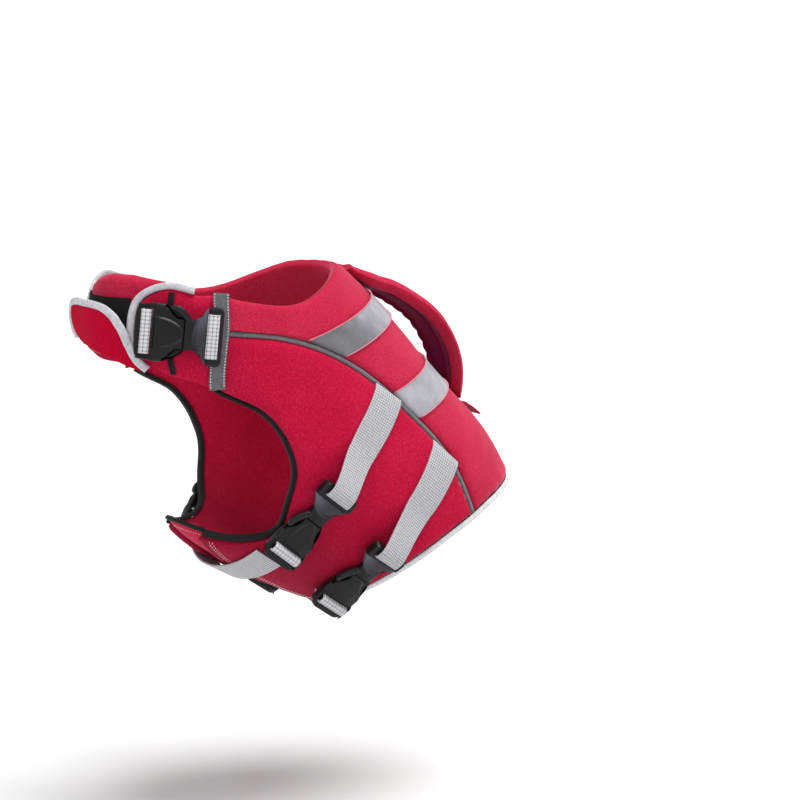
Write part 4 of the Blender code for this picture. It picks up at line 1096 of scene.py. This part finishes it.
def male_top(x, y):
    waist = 0.78 - 0.22 * np.abs(y / 0.6) ** 2 * smooth((0.6 - x) / 0.2)
    hollow = smooth((x - 0.29 - 0.28 * y ** 2) / 0.10) * smooth((0.69 - x) / 0.05)
    end = 0.10 * smooth((x - 0.66) / 0.05)
    return waist + end - 0.26 * hollow * smooth((x - 0.24) / 0.2)


# Painted light on the tongue: the hollow before the slot is lighter, brightest towards +y, and the
# side edges of its end carry a painted highlight.
def male_tone(x, y):
    hollow = smooth((x - 0.29 - 0.28 * y ** 2) / 0.05) * smooth((0.66 - x) / 0.03)
    edge = np.exp(-((np.abs(y) - 0.95) / 0.05) ** 2) * (x > 0.55)
    return 1.0 + (7.0 + 15.0 * smooth((y + 0.1) / 0.9)) * hollow + 1.5 * edge


def cut_slots(piece, frame_of, buckle, slots):
    """Cuts the webbing slots through a plate."""
    work = bmesh.new()
    for middle, half_x in slots:
        across = (BODY_WEBBING if buckle.width < 45 else NECK_WEBBING) + 1.0
        size = (2 * half_x * buckle.length / 2, across, 3 * buckle.height)
        place = Matrix.Translation((middle * buckle.length / 2, 0, buckle.height / 2))
        bmesh.ops.create_cube(work, size=1, matrix=place @ Matrix.Diagonal((*size, 1)))
    for vertex in work.verts:
        vertex.co = Vector(placed(frame_of, np.array(vertex.co)) * MM)
    bmesh.ops.recalc_face_normals(work, faces=work.faces)
    mesh = bpy.data.meshes.new("slots")
    work.to_mesh(mesh)
    work.free()
    cutter = bpy.data.objects.new("slots", mesh)
    bpy.context.scene.collection.objects.link(cutter)
    cut = piece.modifiers.new("slots", "BOOLEAN")
    cut.object = cutter
    cut.operation = "DIFFERENCE"
    graph = bpy.context.evaluated_depsgraph_get()
    done = bpy.data.meshes.new_from_object(piece.evaluated_get(graph))
    piece.modifiers.clear()
    old = piece.data
    piece.data = done
    bpy.data.meshes.remove(old)
    bpy.data.objects.remove(cutter, do_unlink=True)
    done.set_sharp_from_angle(angle=math.radians(PLASTIC_CREASE))


def make_buckle(name, buckle, side, nodes, male_slots):
    """Both halves of a fastened buckle; gives the frame that they lie in."""
    where = buckle_frame(buckle, side)
    half_length, half_width = buckle.length / 2, buckle.width / 2
    shape = Shape()
    plate(shape, where, buckle, FEMALE_HALF, female_top, female_tone)
    for y in (-1, 1):
        # a bead along each rail beside the webbing
        a, b = np.array((-0.975, y * 0.90)), np.array((-0.60, y * 0.93))
        points = [a + (b - a) * f for f in np.linspace(0, 1, 8)]
        line = placed(where, [(p[0] * half_length, p[1] * half_width, buckle.height * 0.80)
                              for p in points])
        ways = unit(np.gradient(line, axis=0))
        ups = np.broadcast_to(where[1][2], line.shape)
        sweep(shape, line, np.cross(ways, ups), ups, tube_round(0.9, 8), taper=0.4)
    piece = shape.make(name + "_socket", (PLASTIC,), "buckle_plastic", nodes[0],
                       sharp=PLASTIC_CREASE)
    cut_slots(piece, where, buckle, [(middle, SLOT_HALF) for middle in LOOP_SLOTS])
    shape = Shape()
    plate(shape, where, buckle, MALE_HALF, male_top, male_tone)
    for y in (-1, 1):
        # the spring arms beside the shield
        spine = ((0.26, 0.42, 0.46), (0.16, 0.57, 0.48), (0.06, 0.72, 0.50), (-0.05, 0.85, 0.51),
                 (-0.15, 0.90, 0.51), (-0.24, 0.86, 0.48))
        line = through(placed(where, [(a * half_length, y * b * half_width, c * buckle.height)
                                      for a, b, c in spine]), 16)
        ways = unit(np.gradient(line, axis=0))
        ups = np.broadcast_to(where[1][2], line.shape)
        sides = np.cross(ways, ups)
        section = rounded(5.0, 5.8, 1.8)
        bulge = 0.75 + 0.45 * np.sin(math.pi * np.linspace(0.05, 0.95, len(line)))
        sections = section[None] * np.stack((bulge, 1 + 0 * bulge), -1)[:, None]
        # Their tone of 2.2 is a painted highlight on the arms.
        sweep(shape, line, sides, ups, sections, tone=np.full((16, len(section)), 2.2),
              taper=0.6)
    piece = shape.make(name + "_tongue", (PLASTIC,), "buckle_plastic", nodes[1],
                       sharp=PLASTIC_CREASE)
    cut_slots(piece, where, buckle, male_slots)
    return where


def place_under(where, place, x, y, lift):
    """Station and angle under a point of a buckle's plane, and the height there."""
    origin, axes = where
    t, v = np.array(place[0], float), np.array(place[1], float)
    for _ in range(6):
        here = axes @ (lifted(t, v, np.array(float(lift))) - origin)
        t, v = moved(t, v, np.array((x - here[0], y - here[1], 0)) @ axes)
    return t, v, (axes @ (lifted(t, v, np.array(float(lift))) - origin))[2]


def through(points, count):
    """A smooth path through points, with rounded corners."""
    points = np.asarray(points, float)
    rows = running(points)
    at = np.linspace(0, rows[-1], count)
    path = np.column_stack([np.interp(at, rows, points[:, i]) for i in range(3)])
    kernel = np.array((1, 2, 3, 2, 1)) / 9
    padded_path = np.pad(path, ((2, 2), (0, 0)), mode="edge")
    soft = np.column_stack([np.convolve(padded_path[:, i], kernel, mode="valid") for i in range(3)])
    soft[0], soft[-1] = path[0], path[-1]
    return soft


def webbing(shape, points, side, width):
    """Flat webbing along points, with one direction across it for all or each."""
    sides = np.broadcast_to(unit(np.asarray(side, float)), points.shape)
    ways = unit(np.gradient(points, axis=0))
    ups = unit(np.cross(sides, ways))
    sides = unit(np.cross(ways, ups))
    sweep(shape, points, sides, ups, rounded(width, WEBBING_THICK, WEBBING_CORNER))


def make_loop(name, node, buckle, side, where, ends, lift):
    """Webbing over the bar between two slots, with both legs down to the cloth."""
    width = (BODY_WEBBING if buckle.width < 45 else NECK_WEBBING) / 2
    half_length = buckle.length / 2
    inner, outer = (share * half_length for share in ends)
    lean = math.copysign(1.2, inner - outer)
    over = buckle.height + SEAM_GAP + WEBBING_THICK / 2
    place = (buckle.station, side * buckle.angle)
    feet = [LAYER_GAP + max(place_under(where, place, x + edge, y, lift)[2]
                            for y in (-width, 0, width) for edge in (-1, 1))
            for x in (inner, outer)]
    stops = ((inner, feet[0]), (inner, over - 2.0), (inner - lean, over), (outer + lean, over),
             (outer, over - 2.0), (outer, feet[1]))
    points = through(placed(where, [(x, 0, z) for x, z in stops]), 40)
    shape = Shape()
    webbing(shape, points, where[1][1], 2 * width)
    shape.make(name, (SILVER,), "silver_webbing", node)


def make_strap(tag, places, buckle, where, side):
    """Webbing from under the piping over the side panel, up on to the tongue and into its slot."""
    line = Line(places if side == 1 else mirrored(places))
    shares = np.linspace(2.3 / line.length, 0.93, 46)
    t, v = line.at(shares)
    from_seam = np.maximum(shares * line.length - SEAM_HALF, 0) + 1.2
    rest = 0.55 + WEBBING_THICK / 2
    points = lifted(t, v, cushion(from_seam)[1] + rest)
    half_length = buckle.length / 2
    over = buckle.height + SEAM_GAP + 0.2 + WEBBING_THICK / 2
    stops = placed(where, [(x, 0, z) for x, z in (
        (half_length - 2.5, over), (STRAP_SLOT * half_length + 1.5, over),
        (STRAP_SLOT * half_length, over - 1.5), (STRAP_SLOT * half_length, over - 7.0))])
    end_t, end_v = place_under(where, (buckle.station, side * buckle.angle), half_length - 2.5, 0,
                               WALL)[:2]
    f = np.linspace(0, 1, 45)[1:]
    start, goal = np.array((t[-1], v[-1])), np.array((end_t, end_v))
    ahead = np.array((t[-1] - t[-2], v[-1] - v[-2]))
    ahead = ahead / abs(ahead[1]) * abs(goal[1] - start[1])
    into = -np.array((buckle.to_station, side * buckle.to_angle))
    into = into / abs(into[1]) * abs(goal[1] - start[1])
    way = [(2 * f ** 3 - 3 * f ** 2 + 1) * start[i] + (f ** 3 - 2 * f ** 2 + f) * ahead[i]
           + (3 * f ** 2 - 2 * f ** 3) * goal[i] + (f ** 3 - f ** 2) * into[i] for i in (0, 1)]
    bridge = lifted(way[0], way[1], WALL + rest + (over - 1.0) * smooth(f))
    bridge = bridge + (stops[0] - bridge[-1]) * (smooth((f - 0.3) / 0.7) ** 2)[:, None]
    path = np.concatenate((points, bridge, through(stops, 16)[1:]))
    across = where[1][1] if where[1][1] @ line.side(np.array(0.5)) > 0 else -where[1][1]
    turn = smooth((np.arange(len(path)) - 42) / 44)[:, None]
    sides = np.concatenate((line.side(shares),
                            np.repeat(line.side(shares[-1:]), len(path) - len(shares), 0)))
    sides = unit(sides * (1 - turn) + across * turn)
    ways = unit(np.gradient(path, axis=0))
    ups = unit(np.cross(sides, ways))
    sides = unit(np.cross(ways, ups))
    section = rounded(BODY_WEBBING, WEBBING_THICK, WEBBING_CORNER)
    steps = np.linspace(25, -25, 201)[:, None, None]
    tries = points[0] + sides[0] * section[None, :, :1] + ways[0] * steps
    gaps = near_line(tries, PIPING if side == 1 else mirrored(PIPING), WALL - 2.0)[0]
    shift = steps[np.argmin(gaps, axis=0), 0, 0] + 2.2
    fade = np.exp(-np.arange(len(path)) / 18.0)[:, None, None]
    tuck = (1 - 0.15 * smooth((np.arange(len(path)) - 30) / 50))[:, None, None]
    rings = path[:, None] + sides[:, None] * section[None, :, :1] * tuck
    rings = rings + ups[:, None] * section[None, :, 1:]
    rings = rings + ways[0] * shift[None, :, None] * fade + ups[:, None] * 0.8 * fade
    shape = Shape()
    shape.rings(rings, running(path), around(section))
    shape.make("webbing_" + tag, (FINE_SILVER,), "silver_webbing", "strap_" + tag)


def make_straps_and_buckles():
    for side, hand in ((1, "left"), (-1, "right")):
        for buckle, strap, end in ((BUCKLE_FRONT, STRAP_FRONT, "front"),
                                   (BUCKLE_REAR, STRAP_REAR, "rear")):
            tag = hand + "_" + end
            nodes = ("buckle_female_" + tag, "buckle_male_" + tag)
            where = make_buckle("buckle_" + tag, buckle, side, nodes, [STRAP_SLOT_CUT])
            make_strap(tag, strap, buckle, where, side)
            make_loop("loop_" + tag, "belly_loop_" + tag, buckle, side, where, LOOP_SLOTS[::-1],
                      WALL)
    places = BELLY_STRAP + tuple((t, 360 - v) for t, v in BELLY_STRAP[-2::-1])
    points, sides, ups = line_frames(Line(places), np.linspace(0, 1, 70),
                                     WALL + LAYER_GAP + WEBBING_THICK / 2)
    shape = Shape()
    sweep(shape, points, sides, ups, rounded(BODY_WEBBING, WEBBING_THICK, WEBBING_CORNER))
    shape.make("belly_webbing", (FINE_SILVER,), "silver_webbing", "belly_strap")
    where = make_buckle("neck_buckle", BUCKLE_NECK, 1, ("neck_buckle_female", "neck_buckle_male"),
                        [(middle, SLOT_HALF) for middle in NECK_SLOTS])
    under = THROAT_WALL + SEAM_GAP + NECK_BAND_WALL
    make_loop("neck_webbing_front", "neck_loop_front", BUCKLE_NECK, 1, where, NECK_LOOP, under)
    make_loop("neck_webbing_rear", "neck_loop_rear", BUCKLE_NECK, 1, where, NECK_SLOTS,
              WALL + LAYER_GAP + 1.2)


# ---------------------------------------------------------------- carry handle

def handle_section(half):
    """Section of the handle: a thick roll on its left and a thin gathered edge on its right."""
    points = []
    for sign_x, sign_y in ((1, 1), (-1, 1), (-1, -1), (1, -1)):
        xs = np.linspace(0, 1, 19)
        xs = xs[::-1] if sign_x * sign_y > 0 else xs
        for x in sign_x * xs[:-1]:
            roll = quarter((1 - abs(x)) / (0.34 if x > 0 else 0.13))
            body = 0.68 + 0.72 * math.exp(-((x - 0.66) / 0.30) ** 2)
            body += 0.50 * math.exp(-((x + 0.88) / 0.09) ** 2)
            body -= 0.26 * math.exp(-((x - 0.06) / 0.05) ** 2)
            body -= 0.22 * math.exp(-((x + 0.72) / 0.04) ** 2)
            points.append((x * half, sign_y * 0.5 * HANDLE_THICK * body * roll))
    return np.array(points)


def make_handle():
    """The padded handle over the spine, gathered along its right edge, and the leash tab."""
    base = WALL + LAYER_GAP
    start = lifted(np.array(HANDLE_FRONT_FOOT), np.zeros(2), base + np.array((2.3, 2.7)))
    line = [tuple(p[1:]) for p in start] + list(HANDLE_LINE)
    foot = lifted(HANDLE_REAR_FOOT, 0.0, np.array(base))
    line.append((foot[1], foot[2]))
    line = np.array(line, float)
    rows = np.column_stack((running(line), line))
    length = rows[-1, 0]
    count = 190
    at = np.linspace(0, length, count + 1)
    middle = np.column_stack((0 * at, blend(rows, at, 1), blend(rows, at, 2)))
    ends = [np.clip(at + d, 0, length) for d in (1, -1)]
    way = np.column_stack((0 * at, blend(rows, ends[0], 1) - blend(rows, ends[1], 1),
                           blend(rows, ends[0], 2) - blend(rows, ends[1], 2)))
    away = unit(np.cross(np.array((1.0, 0, 0)), way))
    last = unit(np.cross(np.array((1.0, 0, 0)), outward(HANDLE_REAR_FOOT, 0.0)))
    last = last if last[1] > 0 else -last
    bend = smooth((at - length + 8) / 8)[:, None]
    away = unit(away * (1 - bend) + last * bend)
    share = at / length
    gather = smooth(4 * share) * smooth(4 * (1 - share)) * np.abs(
        np.sin(math.pi * HANDLE_GATHERS * share))
    half = HANDLE_HALF_WIDTH * (0.80 + 0.20 * smooth(at / 24))
    section = np.stack([handle_section(h) for h in half])
    x = section[..., 0] / half[:, None]
    edge_pull = np.where(x < 0, 3.2, 0.4) * np.abs(x) ** 3 * (gather[:, None] - 0.6)
    section[..., 0] += np.sign(x) * edge_pull
    thin = (0.5 + 0.5 * np.clip(at / 26, 0, 1)) * (0.5 + 0.5 * smooth((length - at) / 16 + 0.3))
    section[..., 1] *= thin[:, None]
    dent = np.exp(-((x + 0.70) / 0.14) ** 2) * (0.5 - gather)[:, None]
    dent = dent * np.sign(section[..., 1]) * smooth(5 * share * (1 - share))[:, None]
    section[..., 1] -= 0.45 * dent
    sag = smooth((share - 0.05) / 0.16) * smooth((0.60 - share) / 0.26)
    middle = middle - away * (HANDLE_SAG * sag)[:, None]
    turn = np.radians(HANDLE_TILT * smooth((share - 0.04) / 0.12) * smooth((0.97 - share) / 0.15))
    wide = np.array((1.0, 0, 0)) * np.cos(turn)[:, None] - away * np.sin(turn)[:, None]
    away = away * np.cos(turn)[:, None] + np.array((1.0, 0, 0)) * np.sin(turn)[:, None]
    rings = middle[:, None] + wide[:, None] * section[..., :1] + away[:, None] * section[..., 1:]
    # The underside beyond the thick roll takes the darker red copy, which is painted shade.
    under = ((section[0][:, 1] < -0.5) & (section[0][:, 0] < 0.66 * half[0])).astype(int)
    shape = Shape()
    # Painted shade: the thick roll darkens over the rear part of the handle.
    tone = 1 - 0.26 * smooth((share - 0.42) / 0.3)[:, None] * smooth((x - 0.35) / 0.4)
    shape.rings(rings, at, around(section[0]), np.broadcast_to(under, (count, len(under))), tone)
    for x, sign in ((-0.72, 1), (0.06, 1), (-0.72, -1), (0.66, -1)):
        height = 0.5 * HANDLE_THICK * (1.38 if x > 0.5 else 0.62)
        row = middle[4:-4] + wide[4:-4] * x * HANDLE_HALF_WIDTH
        row = row + away[4:-4] * (sign * height * thin[4:-4])[:, None]
        stitches(shape, row, away[4:-4] * sign, 3.2, 2.3, 0.45, 2)
    piece = shape.make("handle_padding", (LIT_RED, SHADED_RED, RED_THREAD), "red_cloth",
                       "carry_handle")
    fold = np.array(LEASH_TAB_FOLD)
    points = through(lifted(fold[:, 0], 0 * fold[:, 0], fold[:, 1]), 40)
    shape = Shape()
    webbing(shape, points, (-1.0, 0, 0), LEASH_TAB_WIDTH)
    shape.make("leash_tab_tape", (TAB_TAPE,), "dark_red_cloth", "leash_tab")


# ---------------------------------------------------------------- floor, light and camera

def make_stage():
    """A pale floor that rises gently all around."""
    mesh = bpy.data.meshes.new("floor")
    radii = [0.0] + list(np.linspace(3.2, 4.2, 9)) + [8.0, 40.0]
    heights = [FLOOR_HEIGHT + 0.14 * min(max(r - 3.2, 0), 1) ** 2 + 0.28 * max(r - 4.2, 0)
               for r in radii]
    count = 64
    points = [(r * math.cos(2 * math.pi * k / count), r * math.sin(2 * math.pi * k / count), z)
              for r, z in zip(radii[1:], heights[1:]) for k in range(count)]
    faces = [tuple(range(count))]
    for ring in range(len(radii) - 2):
        for k in range(count):
            a, b = ring * count + k, ring * count + (k + 1) % count
            faces.append((a, a + count, b + count, b))
    mesh.from_pydata(points, [], faces)
    mesh.shade_smooth()
    floor = bpy.data.objects.new("floor", mesh)
    bpy.context.scene.collection.objects.link(floor)
    n = Nodes("pale_floor", 0.8, specular_ior_level=0.1)
    colour = n.ramp(n.noise(3, 2), (0.3, (0.76, 0.76, 0.76)), (0.7, (0.78, 0.78, 0.78)))
    mesh.materials.append(n.finish(colour))


def make_sun(name, toward, strength, softness):
    data = bpy.data.lights.new(name, "SUN")
    data.energy = strength
    data.angle = math.radians(softness)
    lamp = bpy.data.objects.new(name, data)
    lamp.location = Vector(toward) * 3
    lamp.rotation_euler = Vector(toward).to_track_quat("Z", "Y").to_euler()
    bpy.context.scene.collection.objects.link(lamp)


def make_camera():
    azimuth, elevation = math.radians(VIEW_AZIMUTH), math.radians(VIEW_ELEVATION)
    toward = Vector((math.sin(azimuth) * math.cos(elevation),
                     -math.cos(azimuth) * math.cos(elevation), math.sin(elevation)))
    right = Vector((math.cos(azimuth), math.sin(azimuth), 0))
    up = toward.cross(right).normalized()
    target = right * VIEW_SHIFT[0] + up * VIEW_SHIFT[1]
    data = bpy.data.cameras.new("camera")
    data.lens = LENS
    data.sensor_width = 36.0
    camera = bpy.data.objects.new("camera", data)
    camera.location = target + toward * VIEW_DISTANCE
    camera.rotation_euler = (-toward).to_track_quat("-Z", "Y").to_euler()
    bpy.context.scene.collection.objects.link(camera)
    bpy.context.scene.camera = camera
    return toward, right


def make_lights(toward, right):
    up = Vector((0, 0, 1))
    make_sun("key", up * 0.92 + right * 0.36 + toward * 0.06, KEY_STRENGTH, 36)
    make_sun("fill", toward * 0.75 - right * 0.35 + up * 0.80, FILL_STRENGTH, 50)
    world = bpy.data.worlds.new("studio")
    world.use_nodes = True
    world.node_tree.nodes["Background"].inputs["Color"].default_value = (1.0, 1.0, 1.0, 1.0)
    world.node_tree.nodes["Background"].inputs["Strength"].default_value = SKY_STRENGTH
    bpy.context.scene.world = world
    bpy.context.scene.view_settings.view_transform = "Standard"


toward_camera, to_right = make_camera()
make_stage()
make_lights(toward_camera, to_right)
make_back_panel()
make_side_panels()
make_belly_panel()
make_neck_bands()
make_throat_pad()
make_flap()
make_bindings()
make_piping()
make_neck_strips()
make_straps_and_buckles()
make_handle()
